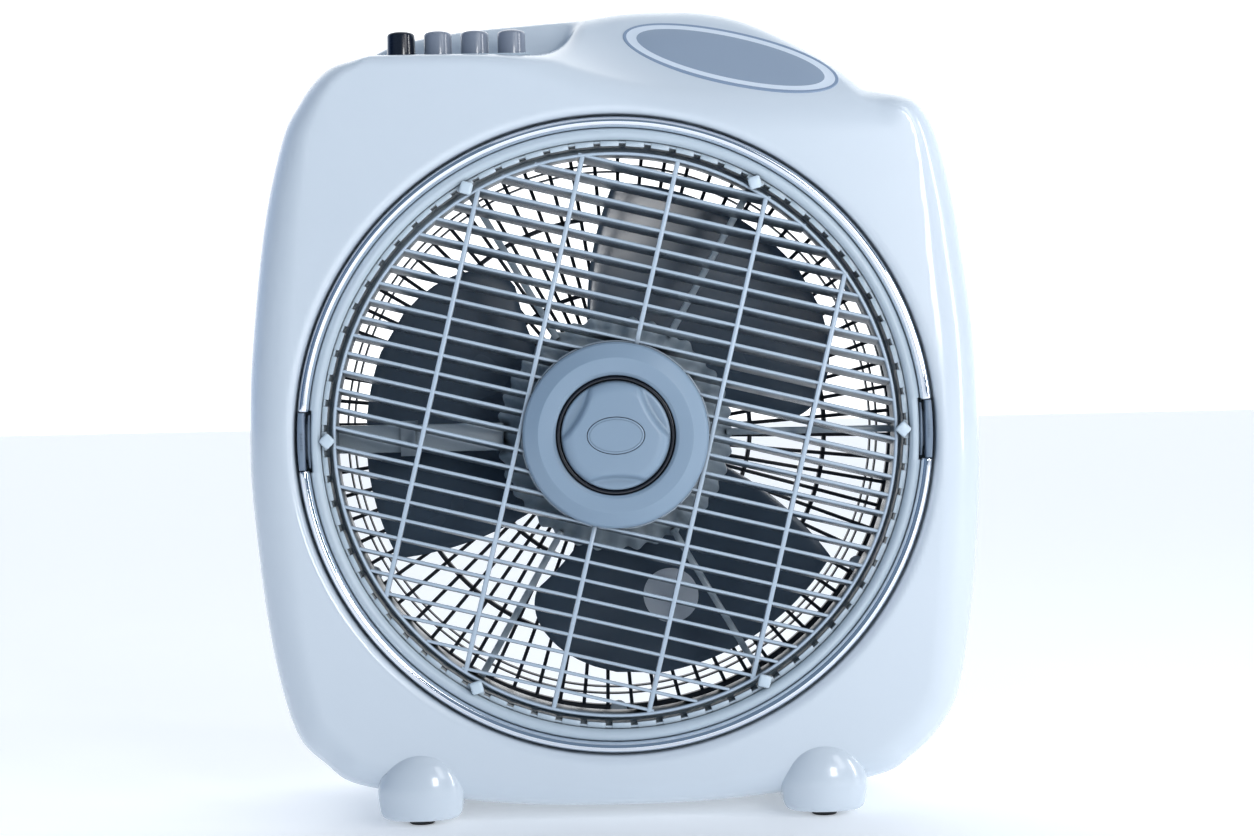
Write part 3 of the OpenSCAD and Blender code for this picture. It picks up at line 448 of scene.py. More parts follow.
finishes = {
    "body_plastic": finish("bodyPlastic", (0.71, 0.78, 0.845), 0.22, coat=0.6, coatRoughness=0.06, grain=350,
                           depth=0.012, mottle=0.012, spread=0.03, cloud=5),
    "label_print": finish("labelFill", (0.32, 0.40, 0.51), 0.35, coat=0.3, grain=1500, depth=0.01),
    "labelEdge": finish("labelEdge", (0.27, 0.36, 0.50), 0.35, coat=0.3, grain=1500, depth=0.01),
    "labelBand": finish("labelBand", (0.80, 0.88, 0.97), 0.35, coat=0.3, grain=1500, depth=0.01),
    "bright_trim": finish("platedTrim", (0.90, 0.93, 0.98), 0.07, metallic=1.0, grain=600, depth=0.004,
                          mottle=0.02, spread=0.03),
    "pale_plastic": finish("palePlastic", (0.56, 0.65, 0.72), 0.25, grain=1400, depth=0.012),
    # guard: the pale plastic made paler as painted light on a part that sits in shade behind the slats, with
    # painted shade in its narrow places
    "guardPaintedLightShade": finish("guardPaintedLightShade", (0.66, 0.77, 0.85), 0.3, grain=1400, depth=0.012, paintedShadeReach=5),
    "clear_plastic": finish("clearPlastic", (0.55, 0.66, 0.78), 0.25, grain=900, depth=0.01,
                            transmission=0.55),
    "wire_sleeve": finish("wireSleeve", (0.05, 0.07, 0.10), 0.5, grain=2000, depth=0.01),
    "steel": finish("zincSteel", (0.55, 0.58, 0.62), 0.35, metallic=1.0, grain=1800, depth=0.008),
    "motor_metal": finish("motorMetal", (0.45, 0.48, 0.52), 0.45, metallic=1.0, grain=1200, depth=0.02),
    "dark_plastic": finish("darkPlastic", (0.006, 0.011, 0.022), 0.38, grain=1100, depth=0.015, mottle=0.1),
    "iron": finish("laminatedIron", (0.16, 0.17, 0.19), 0.5, metallic=0.9, grain=500, depth=0.05,
                   brushed=(0.05, 8, 0.05)),
    "copper": finish("enamelledCopper", (0.45, 0.17, 0.06), 0.35, metallic=0.7, grain=2500, depth=0.03),
    "bronze": finish("oiledBronze", (0.45, 0.27, 0.10), 0.4, metallic=1.0, grain=2500, depth=0.02),
    "film_plastic": finish("resinBox", (0.60, 0.50, 0.22), 0.3, grain=900, depth=0.01),
    "rubber": finish("blackRubber", (0.008, 0.009, 0.011), 0.75, grain=2200, depth=0.03, mottle=0.1),
    "smoke_plastic": finish("smokePlastic", (0.085, 0.125, 0.175), 0.26, grain=700, depth=0.01, mottle=0.08,
                            coat=0.3, coatRoughness=0.12),
    "sticker_film": finish("stickerFilm", (0.80, 0.86, 0.94), 0.45, grain=1500, depth=0.01),
    # louver plastic with painted shade in its narrow places
    "louver_plastic": finish("louverPlastic", (0.28, 0.38, 0.49), 0.32, grain=1500, depth=0.012, paintedShadeReach=7),
    "black_plastic": finish("blackPlastic", (0.006, 0.009, 0.018), 0.2, coat=0.4, grain=900, depth=0.01),
    "grey_plastic": finish("greyPlastic", (0.24, 0.27, 0.33), 0.22, coat=0.4, grain=900, depth=0.01),
    "latch_plastic": finish("latchPlastic", (0.20, 0.26, 0.34), 0.35, grain=1300, depth=0.015),
    # slats: the louver plastic made paler as painted light on their lit front edges, with painted shade in the
    # gaps between them
    "slatPaintedLightShade": finish("slatPaintedLightShade", (0.52, 0.62, 0.72), 0.28, grain=1500, depth=0.012, paintedShadeReach=16),
    "floorPaint": finish("floorPaint", studio["floor"], 0.6, grain=300, depth=0.02),
}

slotOf = {}
for row in frame["record"]["subparts"]:
    slotOf[row["node"]] = row["material_slot"]
    node = frame["nodes"][row["node"]]
    node.data.materials.clear()
    node.data.materials.append(finishes[row["material_slot"]])

makeCamera()
makeStudio()
print("studio ready")

# shells

shellFront, shellBack = span("front_shell"), span("rear_shell")
shell = {
    "face": shellFront[0][1],
    "parting": shellFront[1][1],
    "back": shellBack[1][1],
    "duct": 170.5,
    "ductWall": 5,
    "wall": 5.5,
    "cell": 2.1,
    "edgeDepth": 24,           # how far back the rounding of the front and back edges starts
    "ledgeInner": 160,
    "ledgeFront": -42,
    "ledgeThick": 4,
    "rearLedge": (66, 70),
    "rearLedgeInner": 168,
    "screwRing": 166.5,
    "earRadius": 5,
    "bossRadius": 6,
    "bosses": [(-140, 72), (140, 72), (140, 345), (-140, 345)],
    "screwWell": 4.5,
    "screwSeat": 30,
    "partingRound": 3,
    "boreRound": 5,
}
# body outline without its arch, and the arch from its left end to its right end
bodyOutline = [
    (0, 5), (66, 7.5), (136, 17), (158, 28), (175, 45), (185, 66), (193, 115), (197.5, 170), (198, 205),
    (196.3, 255), (190, 307), (186, 331), (180.5, 355), (176, 368), (171, 377), (165, 383), (156, 385.5),
    (130, 389), (80, 394), (10, 401), (-60, 408), (-112, 412), (-133, 411.5), (-148, 406.5), (-159, 397.5),
    (-168, 385), (-177, 367), (-188, 320), (-196.3, 250), (-198, 205), (-196.5, 166), (-189, 99),
    (-177, 50), (-161, 31), (-139, 18), (-66, 7.5)]
archOutline = [
    (-137, 412), (-118, 421.5), (-84, 428), (-43, 431.5), (-16, 433.5), (9, 437.2), (31, 438), (54, 437),
    (76.5, 431), (101, 418), (120, 405), (134, 392.5), (144, 381.5)]
# how far the edge's rounding reaches in from the outline, by angle from three o'clock
edgeReach = [
    (-90, 16), (-65, 17), (-45, 21), (-20, 24), (25, 24), (38, 20), (47, 13), (54, 7), (90, 6), (118, 7),
    (128, 12), (137, 20), (150, 24), (200, 24), (225, 21), (245, 17), (270, 16)]


def splineThrough(points, steps, closed):
    p = np.array(points, float)
    n = len(p)
    out = []
    for i in range(n if closed else n - 1):
        near = [p[(i + k) % n] if closed else p[min(max(i + k, 0), n - 1)] for k in (-1, 0, 1, 2)]
        a, b, c, d = near
        for t in np.arange(steps) / steps:
            out.append(0.5 * (2 * b + (c - a) * t + (2 * a - 5 * b + 4 * c - d) * t ** 2
                              + (3 * b - a - 3 * c + d) * t ** 3))
    if not closed:
        out.append(p[-1])
    return np.array(out)


tableSize = 2880
tableAngles = np.linspace(-math.pi, math.pi, tableSize, endpoint=False)


def polarTable(points, closed):
    x, z = points[:, 0], points[:, 1] - axisHeight
    angle = np.arctan2(z, x)
    order = np.argsort(angle)
    if closed:
        return np.interp(tableAngles, angle[order], np.hypot(x, z)[order], period=2 * math.pi)
    return np.interp(tableAngles, angle[order], np.hypot(x, z)[order], left=0, right=0)


def softened(table, degrees):
    spot = np.fft.fftfreq(tableSize, 1 / tableSize)
    return np.real(np.fft.ifft(np.fft.fft(table) * np.exp(-0.5 * (spot * math.radians(degrees)) ** 2)))


bodyScale = (shellFront[1][0] - shellFront[0][0]) / 396
bodySpline = splineThrough(bodyOutline, 30, True) * [bodyScale, 1]
archSpline = splineThrough(archOutline, 30, False) * [bodyScale, 1]
outlineTable = softened(np.maximum(polarTable(bodySpline, True), polarTable(archSpline, False)), 0.55)
outlineSlope = np.gradient(outlineTable, 2 * math.pi / tableSize)
outlineLean = 1 / np.sqrt(1 + (outlineSlope / outlineTable) ** 2)
reachAngles = np.radians([a for a, r in edgeReach])
reachTable = softened(np.interp(tableAngles, reachAngles, [r for a, r in edgeReach], period=2 * math.pi), 4)


def lookUp(table, angle):
    return np.interp(angle, tableAngles, table, period=2 * math.pi)


def roundedBody(x, y, z, face, towards):
    # distance from the plain rounded body: towards is -1 for its front half and 1 for its back half
    angle = np.arctan2(z - axisHeight, x)
    radius = np.hypot(x, z - axisHeight)
    flat = (radius - lookUp(outlineTable, angle)) * lookUp(outlineLean, angle)
    reach = lookUp(reachTable, angle)
    if towards > 0:
        reach = np.maximum(reach, 12)
    deep = shell["edgeDepth"]
    ahead = towards * (y - face)
    u = np.maximum(flat + reach, 0)
    v = np.maximum(ahead + deep, 0)
    far = np.sqrt((u / reach) ** 2 + (v / deep) ** 2)
    steep = np.sqrt((u / reach ** 2) ** 2 + (v / deep ** 2) ** 2)
    curved = (far - 1) * far / np.maximum(steep, 1e-6)
    plain = np.maximum(flat, ahead)
    return np.where((u > 0) & (v > 0), curved, plain), radius


labelLow, labelHigh = span("label_plate")
labelFace = {
    "centre": (labelLow + labelHigh) / 2,
    "lean": math.radians(39),
    "right": 146,
    "ridgeTop": (-31, -40, 428),
    "ridgeSlope": (0.272, -0.544, 0.793),
    "creaseRound": 9,
    "valleyRound": 9,
}
shelf = {
    "height": span("button_plate")[0][2],
    "right": -17,
    "back": -30,
    "scoopRound": 30,
    "cornerRound": 8,
    "lipRound": 7,
    "holeRadius": 8.2,
    "holes": [sum(span("button_" + name)) / 2 for name in ("off", "low", "medium", "high")],
    "holeLow": 385,
}


def hollowed(solid, radius, edge):
    # the shell's wall and its duct, open at the parting line
    outside = softMax(softMax(solid, shell["duct"] - radius, shell["boreRound"]), edge, shell["partingRound"])
    inside = np.maximum(solid + shell["wall"], shell["duct"] + shell["ductWall"] - radius)
    return np.maximum(outside, -inside)


def withRods(wall, x, y, z, front, back, radius):
    for bx, bz in shell["bosses"]:
        rod = np.maximum(np.hypot(x - bx, z - bz) - radius, np.maximum(front - y, y - back))
        wall = np.minimum(wall, rod)
    return wall


def labelPlane(y, z):
    cy, cz = labelFace["centre"][1:]
    return -(y - cy) * math.cos(labelFace["lean"]) + (z - cz) * math.sin(labelFace["lean"])


def frontSolid(x, y, z):
    solid, radius = roundedBody(x, y, z, shell["face"], -1)
    rx, ry, rz = labelFace["ridgeTop"]
    nx, ny, nz = labelFace["ridgeSlope"]
    ridge = (x - rx) * nx + (y - ry) * ny + (z - rz) * nz
    cut = softMax(-labelPlane(y, z), -ridge, labelFace["valleyRound"])
    cut = softMax(cut, x - labelFace["right"], 8)
    solid = softMax(solid, -cut, labelFace["creaseRound"])
    space = softMax(shelf["height"] - z, x - shelf["right"], shelf["scoopRound"])
    space = softMax(space, y - shelf["back"], shelf["cornerRound"])
    return softMax(solid, -space, shelf["lipRound"]), radius


def frontField(x, y, z):
    solid, radius = frontSolid(x, y, z)
    wall = hollowed(solid, radius, y - shell["parting"])
    wall = withRods(wall, x, y, z, shell["face"] + 2, shell["parting"], shell["bossRadius"])
    middle = shell["ledgeFront"] + shell["ledgeThick"] / 2
    ledge = np.maximum(np.abs(y - middle) - shell["ledgeThick"] / 2,
                       np.maximum(shell["ledgeInner"] - radius, radius - shell["duct"] - 1))
    wall = np.minimum(wall, ledge)
    for hole in shelf["holes"]:
        bore = np.hypot(x - hole[0], y - hole[1]) - shelf["holeRadius"]
        wall = np.maximum(wall, -np.maximum(bore, shelf["holeLow"] - z))
    return wall


grip = {"middle": (8, 396.5), "half": (58, 11.5), "front": 30, "round": 8, "lipRound": 6}


def rearField(x, y, z):
    solid, radius = roundedBody(x, y, z, shell["back"], 1)
    across = np.abs(x - grip["middle"][0]) - grip["half"][0]
    up = np.abs(z - grip["middle"][1]) - grip["half"][1]
    pocket = softMax(softMax(across, up, grip["round"]), grip["front"] - y, grip["round"])
    solid = softMax(solid, -pocket, grip["lipRound"])
    wall = hollowed(solid, radius, shell["parting"] - y)
    wall = withRods(wall, x, y, z, shell["parting"], shell["back"] - 1, shell["bossRadius"])
    near, far = shell["rearLedge"]
    ring = shell["rearLedgeInner"] - radius
    for i in range(6):
        turn = math.radians(30 + 60 * i)
        ex, ez = shell["screwRing"] * math.cos(turn), shell["screwRing"] * math.sin(turn)
        ear = np.hypot(x - ex, z - axisHeight - ez)
        ring = np.minimum(ring, ear - shell["earRadius"])
    ledge = np.maximum(np.abs(y - (near + far) / 2) - (far - near) / 2,
                       np.maximum(ring, radius - shell["duct"] - 1))
    wall = np.minimum(wall, ledge)
    for bx, bz in shell["bosses"]:
        well = np.maximum(np.hypot(x - bx, z - bz) - shell["screwWell"], shell["screwSeat"] - y)
        wall = np.maximum(wall, -well)
    return wall


def makeShells():
    cell = shell["cell"] * 1
    low, high = shellFront
    front = mouldedPiece("frontShell", frontField, low, high, cell, finishes["body_plastic"])
    fit(front, "housing", "body_plastic", "front_shell")
    low, high = shellBack
    rear = mouldedPiece("rearShell", rearField, low, high, cell, finishes["body_plastic"])
    fit(rear, "housing", "body_plastic", "rear_shell")


makeShells()
print("shells moulded")


def lofted(loops, closed=False):
    # closed loops of equal length, one after another, with both ends capped
    n = len(loops[0])
    verts = [p for loop in loops for p in loop]
    faces = []
    for i in range(len(loops) - (0 if closed else 1)):
        j = (i + 1) % len(loops)
        for k in range(n):
            m = (k + 1) % n
            faces.append((i * n + k, i * n + m, j * n + m, j * n + k))
    if not closed:
        faces.append(tuple(range(n))[::-1])
        faces.append(tuple(range((len(loops) - 1) * n, len(loops) * n)))
    return verts, faces


def ovalLoop(halfWide, halfHigh, depth, count=96):
    turns = [2 * math.pi * i / count for i in range(count)]
    return [(halfWide * math.cos(a), depth, halfHigh * math.sin(a)) for a in turns]


def arcBar(profile, start, end, segments, chamfer):
    # a bar of that section along an arc, its two ends chamfered by about that many millimetres
    middle = np.mean(profile, axis=0)
    size = np.max(np.abs(np.array(profile) - middle))
    step = math.degrees(chamfer / middle[0])
    rows = [(start, chamfer), (start + step * 0.4, chamfer * 0.3), (start + step, 0)]
    rows += [(start + step + (end - start - 2 * step) * i / segments, 0) for i in range(1, segments)]
    rows += [(end - step, 0), (end - step * 0.4, chamfer * 0.3), (end, chamfer)]
    loops = []
    for angle, inset in rows:
        a = math.radians(angle)
        section = middle + (np.array(profile) - middle) * (1 - inset / size)
        loops.append([(r * math.cos(a), y, r * math.sin(a)) for r, y in section])
    return lofted(loops)


def spread(part, count, first=0.0):
    return join(*[place(part, aboutAxis(first + 360 * i / count)) for i in range(count)])


def turnedPart(part, degrees=0.0):
    return place(part, aboutAxis(degrees))


def ringPart(corners, steps, segments):
    # a ring or disc about the fan's axis, from the filleted corners of its section
    return turnedPart(spun(filleted(corners, steps), segments))


trim = {
    "chromeInner": 163.3,
    "chromeOuter": 169,
    "front": -80.5,
    "back": -68,
    "gap": 5.5,                # half the angle between the two arcs
    "bezelInner": 156.8,
    "bezelOuter": 163,
    "bezelFront": -78,
    "bezelBack": -46,
    "latchGapAngle": 5.85,
    "latchGapRadius": 161.8,
}


def makeTrim():
    a, b = trim["chromeInner"], trim["chromeOuter"]
    back = trim["back"]
    section = filleted([(a, back, 0), (a, -77, 1.2), (a + 1, -79.5, 1.2), (a + 3, trim["front"], 2.4),
                        (b - 1, -79.5, 1.2), (b, -77, 1.2), (b, back, 0)], 4)
    gap = trim["gap"]
    arcs = [turnedPart(arcBar(section, start + gap, start + 180 - gap, 150, 0.7)) for start in (0, 180)]
    fit(solidMesh("brightRing", join(*arcs), finishes["bright_trim"], smoothAngle=50), "housing",
        "bright_trim", "chrome_ring")
    a, b = trim["bezelInner"], trim["bezelOuter"]
    y0, y1, flange = trim["bezelFront"], trim["bezelBack"], trim["chromeOuter"]
    whole = filleted([(a, y1, 0), (a, y0 + 2.6, 2), (a + 1.5, y0, 2.6), (b - 1.5, y0, 2.6), (b, y0 + 2.6, 2),
                      (b, back, 0.5), (flange, back, 0.5), (flange, back + 4, 0.5), (b, back + 4, 0),
                      (b, y1, 0)], 3)
    c = trim["latchGapRadius"]
    slim = filleted([(a, y1, 0), (a, y0 + 2, 1), (a + 1.5, y0, 1), (c - 1, y0, 1), (c, y0 + 1.4, 1),
                     (c, y1, 0)], 3)
    g = trim["latchGapAngle"]
    parts = [spun(whole, 150, g, 180 - g), spun(whole, 150, 180 + g, 360 - g)]
    parts += [spun(slim, 12, -g - 0.05, g + 0.05), spun(slim, 12, 180 - g - 0.05, 180 + g + 0.05)]
    fit(solidMesh("innerBezel", turnedPart(join(*parts)), finishes["pale_plastic"]), "housing",
        "pale_plastic", "bezel_ring")


latches = {
    "outer": 168.7,
    "inner": 162,
    "lip": 1.1,
    "slot": 1.5,
    "front": -79,
    "back": -59,
    "half": 15.5,
    "edge": 0.9,
}


def latchBar(x0, x1, front, back, half, edge):
    # an upright bar whose outer side follows the ring, narrowing toward the back
    loops = []
    for y, inset in ((front, edge), (front + edge * 0.35, edge * 0.35), (front + edge * 1.2, 0), (-76, 0),
                     (-72, 0), (back, 0)):
        tall = min(half, 21.9 - abs(y + 80)) - inset
        outline = []
        rim = latches["outer"] - x1
        for k in range(13):
            z = -tall + 2 * tall * k / 12
            outline.append((math.sqrt((x1 + rim) ** 2 - z * z) - rim - inset, y, z))
        for k in range(13):
            z = tall - 2 * tall * k / 12
            outline.append((x0 + inset, y, z))
        loops.append(outline)
    return lofted(loops)


def makeLatches():
    s = latches
    lip = latchBar(s["inner"], s["inner"] + s["lip"], s["front"] + 0.4, -64, s["half"] - 1.5, 0.35)
    bar = latchBar(s["inner"] + s["lip"] + s["slot"], s["outer"], s["front"], s["back"], s["half"], s["edge"])
    web = latchBar(s["inner"] + 0.3, s["outer"] - 0.6, -72.5, -60.5, 10, 0.3)
    ridges = [roundBoxes([((165.4, s["front"], z - 0.5), (167.4, s["front"] + 0.8, z + 0.5))], 0.3)
              for z in (-4, -2, 0, 2, 4)]
    whole = join(lip, bar, web, *ridges)
    for side, name in ((-1, "latch_left"), (1, "latch_right")):
        part = place(whole, lambda x, y, z: (side * x, y, z + axisHeight))
        fit(solidMesh(name + "Tab", part, finishes["latch_plastic"]), name, "latch_plastic", name)


guard = {
    "inner": 152,
    "outer": 156.5,
    "flange": 169.5,
    "teeth": 72,
    "tooth": 9.9,
    "lip": 1.3,
    "toothInner": 153.5,
    "gapOuter": 154.6,
    "toothFront": -74,
    "ringFront": -66,
    "ringBack": -42,
    "spokes": 6,
    "spokeHalf": 1.8,
    "wideHalf": 7.5,
    "spokeFront": -52,
    "spokeBack": -45,
    "hubRadius": 62.5,
    "faceRadius": 46,
    "flutes": 36,
    "fluteRadius": 2.6,
    "hubFront": -54,
    "hubBack": -30,
}


def fluted(x, y, z):
    radius = math.hypot(x, z)
    share = min(1.0, max(0.0, (radius - guard["faceRadius"]) / (guard["hubRadius"] - guard["faceRadius"])))
    wave = 0.5 + 0.5 * math.cos(guard["flutes"] * math.atan2(z, x))
    grown = (radius + share * guard["fluteRadius"] * (wave - 0.15)) / max(radius, 1e-6)
    return x * grown, y - share * 1.3 * (wave - 0.5), z * grown


def makeGuard():
    s = guard
    inner, outer, front, back = s["inner"], s["outer"], s["ringFront"], s["ringBack"]
    gap, flange = s["gapOuter"], s["flange"]
    ring = ringPart([(inner, back, 0), (inner, -53, 0.6), (gap, -53, 0), (gap, front, 0.3), (outer, front, 0),
                     (outer, -46, 0.8), (flange, -46, 0.4), (flange, back, 0)], 3, 288)
    tooth = roundBoxes([((s["toothInner"], s["toothFront"], -s["tooth"] / 2),
                         (outer, front + 1, s["tooth"] / 2))], 0.35)
    lipFront = s["toothFront"] + 0.3
    lip = ringPart([(outer - s["lip"], front + 1, 0), (outer - s["lip"], lipFront, 0.3),
                    (outer, lipFront, 0.4), (outer, front + 1, 0)], 3, 288)
    spoke = roundBoxes([((s["hubRadius"] - 2, s["spokeFront"], -s["spokeHalf"]),
                         (s["inner"] + 1, s["spokeBack"], s["spokeHalf"]))], 0.9)
    wide = roundBoxes([((s["hubRadius"] - 2, s["spokeFront"], -s["wideHalf"]),
                        (s["inner"] + 1, s["spokeBack"], s["wideHalf"]))], 1.1)
    face = s["hubFront"]
    hub = spun(filleted([(s["hubRadius"], s["hubBack"], 0), (s["hubRadius"], -43, 4), (57, -49.5, 4),
                         (51, -52.6, 4), (s["faceRadius"], face, 3), (5, face, 0.4), (5, face + 2.5, 0),
                         (45, face + 2.5, 1), (59, -42, 2), (59, s["hubBack"], 0)], 4), 576, change=fluted)
    diamond = place(roundBoxes([((-3.3, -79.5, -3.3), (3.3, -76.6, 3.3))], 1.3, 3),
                    lambda x, y, z: ((x + z) * 0.7071 + 153, y, (z - x) * 0.7071))
    neck = roundBoxes([((152.3, -79.3, -2.2), (155.9, -65, 2.2))], 0.5)
    collar = ringPart([(6.2, face - 0.8, 0.4), (8.4, face - 0.8, 0.6), (8.4, face + 0.5, 0),
                       (6.2, face + 0.5, 0)], 3, 48)
    parts = [ring, lip, spread(tooth, s["teeth"]), turnedPart(hub), collar,
             spread(join(diamond, neck), s["spokes"]), turnedPart(wide, 180)]
    parts += [turnedPart(spoke, a) for a in (0, 60, 120, 240, 300)]
    # the guard takes a paler copy of the pale plastic as painted light, with painted shade
    piece = solidMesh("guardFrame", join(*parts), finishes["guardPaintedLightShade"])
    fit(piece, "housing", "pale_plastic", "front_guard")


louver = {
    "radius": 150.4,
    "rim": 1.8,
    "front": -76,
    "back": -58,
    "slats": 29,
    "pitch": 10,
    "thick": 1.8,
    "deep": 17.4,
    "lean": 7.6,
    "edge": 0.75,
    "dividers": (-100, -50, 0, 50, 100),
    "dividerWide": 2.6,
    "dividerDeep": 5.6,
    "hole": 48.4,
    "turn": -14,
}


def slatPart(height):
    s = louver
    reach = math.sqrt((s["radius"] - s["rim"] / 2) ** 2 - height ** 2)
    inner = math.sqrt(max(s["hole"] ** 2 - height ** 2, 0))
    spans = [(-reach, -inner), (inner, reach)] if inner > 0 else [(-reach, reach)]
    d, t, e = s["deep"] / 2, s["thick"] / 2, s["edge"]
    section = filleted([(-d, -t, e), (d, -t, 0.3), (d, t, 0.3), (-d, t, e)], 3)
    lean = math.radians(s["lean"])
    middle = (s["front"] + s["back"]) / 2
    parts = []
    for x0, x1 in spans:
        loops = []
        for i in range(9):
            x = x0 + (x1 - x0) * i / 8
            loops.append([(x, middle + u * math.cos(lean) + v * math.sin(lean),
                           height - u * math.sin(lean) + v * math.cos(lean)) for u, v in section])
        parts.append(lofted(loops))
    return join(*parts)


def makeLouver():
    s = louver
    half = (s["slats"] - 1) // 2
    parts = [slatPart(i * s["pitch"]) for i in range(-half, half + 1)]
    w, front = s["dividerWide"] / 2, s["front"] + 0.2
    for x in s["dividers"]:
        long = math.sqrt((s["radius"] - s["rim"] / 2) ** 2 - x * x)
        inner = math.sqrt(max(s["hole"] ** 2 - x * x, 0))
        spans = [(-long, -inner), (inner, long)] if inner > 0 else [(-long, long)]
        for a, b in spans:
            parts.append(roundBoxes([((x - w, front, a), (x + w, front + s["dividerDeep"], b))], 0.7))
    r = s["radius"]
    parts.append(spun(filleted([(r - s["rim"], s["back"], 0.4), (r - s["rim"], s["front"], 0.9),
                                (r, s["front"], 0.9), (r, s["back"], 0.4)], 4), 288))
    parts.append(spun(filleted([(49.5, -58, 0), (49.5, -75, 0.3), (50.5, -75, 0.3), (50.5, -58, 0)], 2), 160))
    part = turnedPart(join(*parts), s["turn"])
    # the slats take a paler copy of the louver plastic as painted light, with painted shade
    fit(solidMesh("louverDisc", part, finishes["slatPaintedLightShade"]), "louver", "louver_plastic", "louver_grille")


cap = {
    "profile": [(0, -60, 0), (9, -60, 0.5), (9, -73.5, 0.5), (47, -73.5, 1), (47, -58, 0.2), (48.2, -58, 0.2),
                (48.2, -76, 0), (49.5, -76, 0), (49.5, -78.6, 1.4), (48.3, -80.3, 1.4),
                (41.2, -84, 1.0), (33.6, -83.6, 0.8), (31.8, -82.6, 0.8), (31.8, -76, 0.3), (0, -76, 0)],
    "collar": [(29.4, -76, 0), (29.4, -80.6, 0.6), (31.5, -80.6, 0.6), (31.5, -76, 0)],
    "knobRadius": 29,
    "knobFront": -88,
    "knobBack": -76.3,
    "scoopRadius": 57.8,
    "scoopSlope": 0.5,
    "scoopPlace": 78,
    "scoopFloor": -83,
    "scoops": (30, 150, 270),
    "cell": 0.55,
    "oval": (15.2, 9.85),
    "badge": (15, 9.65),
    "badgeFront": -88.2,
}


def knobField(x, y, z):
    s = cap
    radius = np.hypot(x, z - axisHeight)
    dome = s["knobFront"] + 0.5 * (radius / 23) ** 2
    field = softMax(radius - s["knobRadius"], dome - y, 7)
    field = softMax(field, y - s["knobBack"], 0.8)
    for angle in s["scoops"]:
        a = math.radians(angle)
        away = np.hypot(x - s["scoopPlace"] * math.cos(a), z - axisHeight - s["scoopPlace"] * math.sin(a))
        slope = s["scoopSlope"] * (y - s["knobFront"])
        space = softMax((away - s["scoopRadius"] + slope) * 0.9, y - s["scoopFloor"], 1.2)
        field = softMax(field, -space, 1.3)
    wide, high = s["oval"]
    seat = (np.sqrt((x / wide) ** 2 + ((z - axisHeight) / high) ** 2) - 1) * high
    field = softMax(field, -np.maximum(seat, y - s["knobFront"] - 1), 0.25)
    stem = np.maximum(radius - 4, np.maximum(s["knobBack"] - 1 - y, y + 71))
    return np.minimum(field, stem)


def makeKnob():
    s = cap
    part = ringPart(s["profile"], 5, 192)
    fit(solidMesh("centreCap", part, finishes["louver_plastic"]), "louver", "louver_plastic", "louver_cap")
    part = ringPart(s["collar"], 4, 128)
    fit(solidMesh("knobCollar", part, finishes["black_plastic"]), "louver", "black_plastic", "knob_collar")
    low, high = span("lock_knob")
    cell = s["cell"] * 1
    knob = mouldedPiece("lockKnob", knobField, low, high, cell, finishes[slotOf["lock_knob"]])
    fit(knob, "knob", slotOf["lock_knob"], "lock_knob")
    wide, high = s["badge"]
    front = s["badgeFront"]
    steps = [(0, 1.2), (0, 0.35), (0.12, 0.1), (0.4, 0), (0.9, 0), (1.0, 0.18), (1.25, 0.18), (1.4, 0.02),
             (3, 0), (6, 0), (9, 0)]
    loops = [ovalLoop(wide - inset, high - min(inset, 9.2), front + deep) for inset, deep in steps]
    badge = solidMesh("knobBadge", turnedPart(lofted(loops)), finishes[slotOf["knob_badge"]])
    fit(badge, "knob", slotOf["knob_badge"], "knob_badge")


def upright(centre):
    # a part turned about +Y stands up about +Z through that point
    return lambda x, y, z: (centre[0] + x, centre[1] - z, centre[2] + y)


buttons = {
    "names": ("off", "low", "medium", "high"),
    "radius": 7.6,
    "skirt": -9,
    "top": 15,
    "stemRadius": 2.4,
    "stemLow": -22,
}


def makeButtons():
    s = buttons
    r, top, skirt = s["radius"], s["top"], s["skirt"]
    stem, low = s["stemRadius"], s["stemLow"]
    profile = filleted([(0, low, 0), (stem, low, 0.4), (stem, skirt, 0), (r, skirt, 0.4), (r, 3, 1),
                        (r - 0.15, top - 1.3, 1.8), (4, top - 0.2, 5), (0, top, 0)], 5)
    for name in s["names"]:
        node = "button_" + name
        low, high = span(node)
        centre = ((low[0] + high[0]) / 2, (low[1] + high[1]) / 2, high[2] - top)
        part = spun(profile, 64, change=upright(centre))
        stemLow = low[2] - centre[2]
        part = ([(x, y, max(z, centre[2] + stemLow)) for x, y, z in part[0]], part[1])
        piece = solidMesh(node + "Cap", part, finishes[slotOf[node]])
        fit(piece, node, slotOf[node], node)


springs = {
    "turns": 4,
    "wire": 0.45,
    "coil": 4.6,
    "keep": 0.28,
}


def makeSprings():
    s = springs
    for name in buttons["names"]:
        node = "spring_" + name
        low, high = span(node)
        cx, cy = (low[0] + high[0]) / 2, (low[1] + high[1]) / 2
        start, end = low[2] + s["wire"], high[2] - s["wire"]
        loops = []
        for i in range(s["turns"] * 24 + 1):
            a = 2 * math.pi * i / 24
            z = start + (end - start) * i / (s["turns"] * 24)
            ring = [2 * math.pi * k / 8 for k in range(8)]
            loops.append([(cx + (s["coil"] + s["wire"] * math.cos(b)) * math.cos(a),
                           cy + (s["coil"] + s["wire"] * math.cos(b)) * math.sin(a),
                           z + s["wire"] * math.sin(b)) for b in ring])
        piece = solidMesh(node + "Coil", lofted(loops), finishes[slotOf[node]], smoothAngle=60)
        fit(piece, "housing", slotOf[node], node)
        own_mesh(piece)


pads = {
    "radius": 7.2,
    "height": 3,
    "groove": (3.2, 4.2),
}


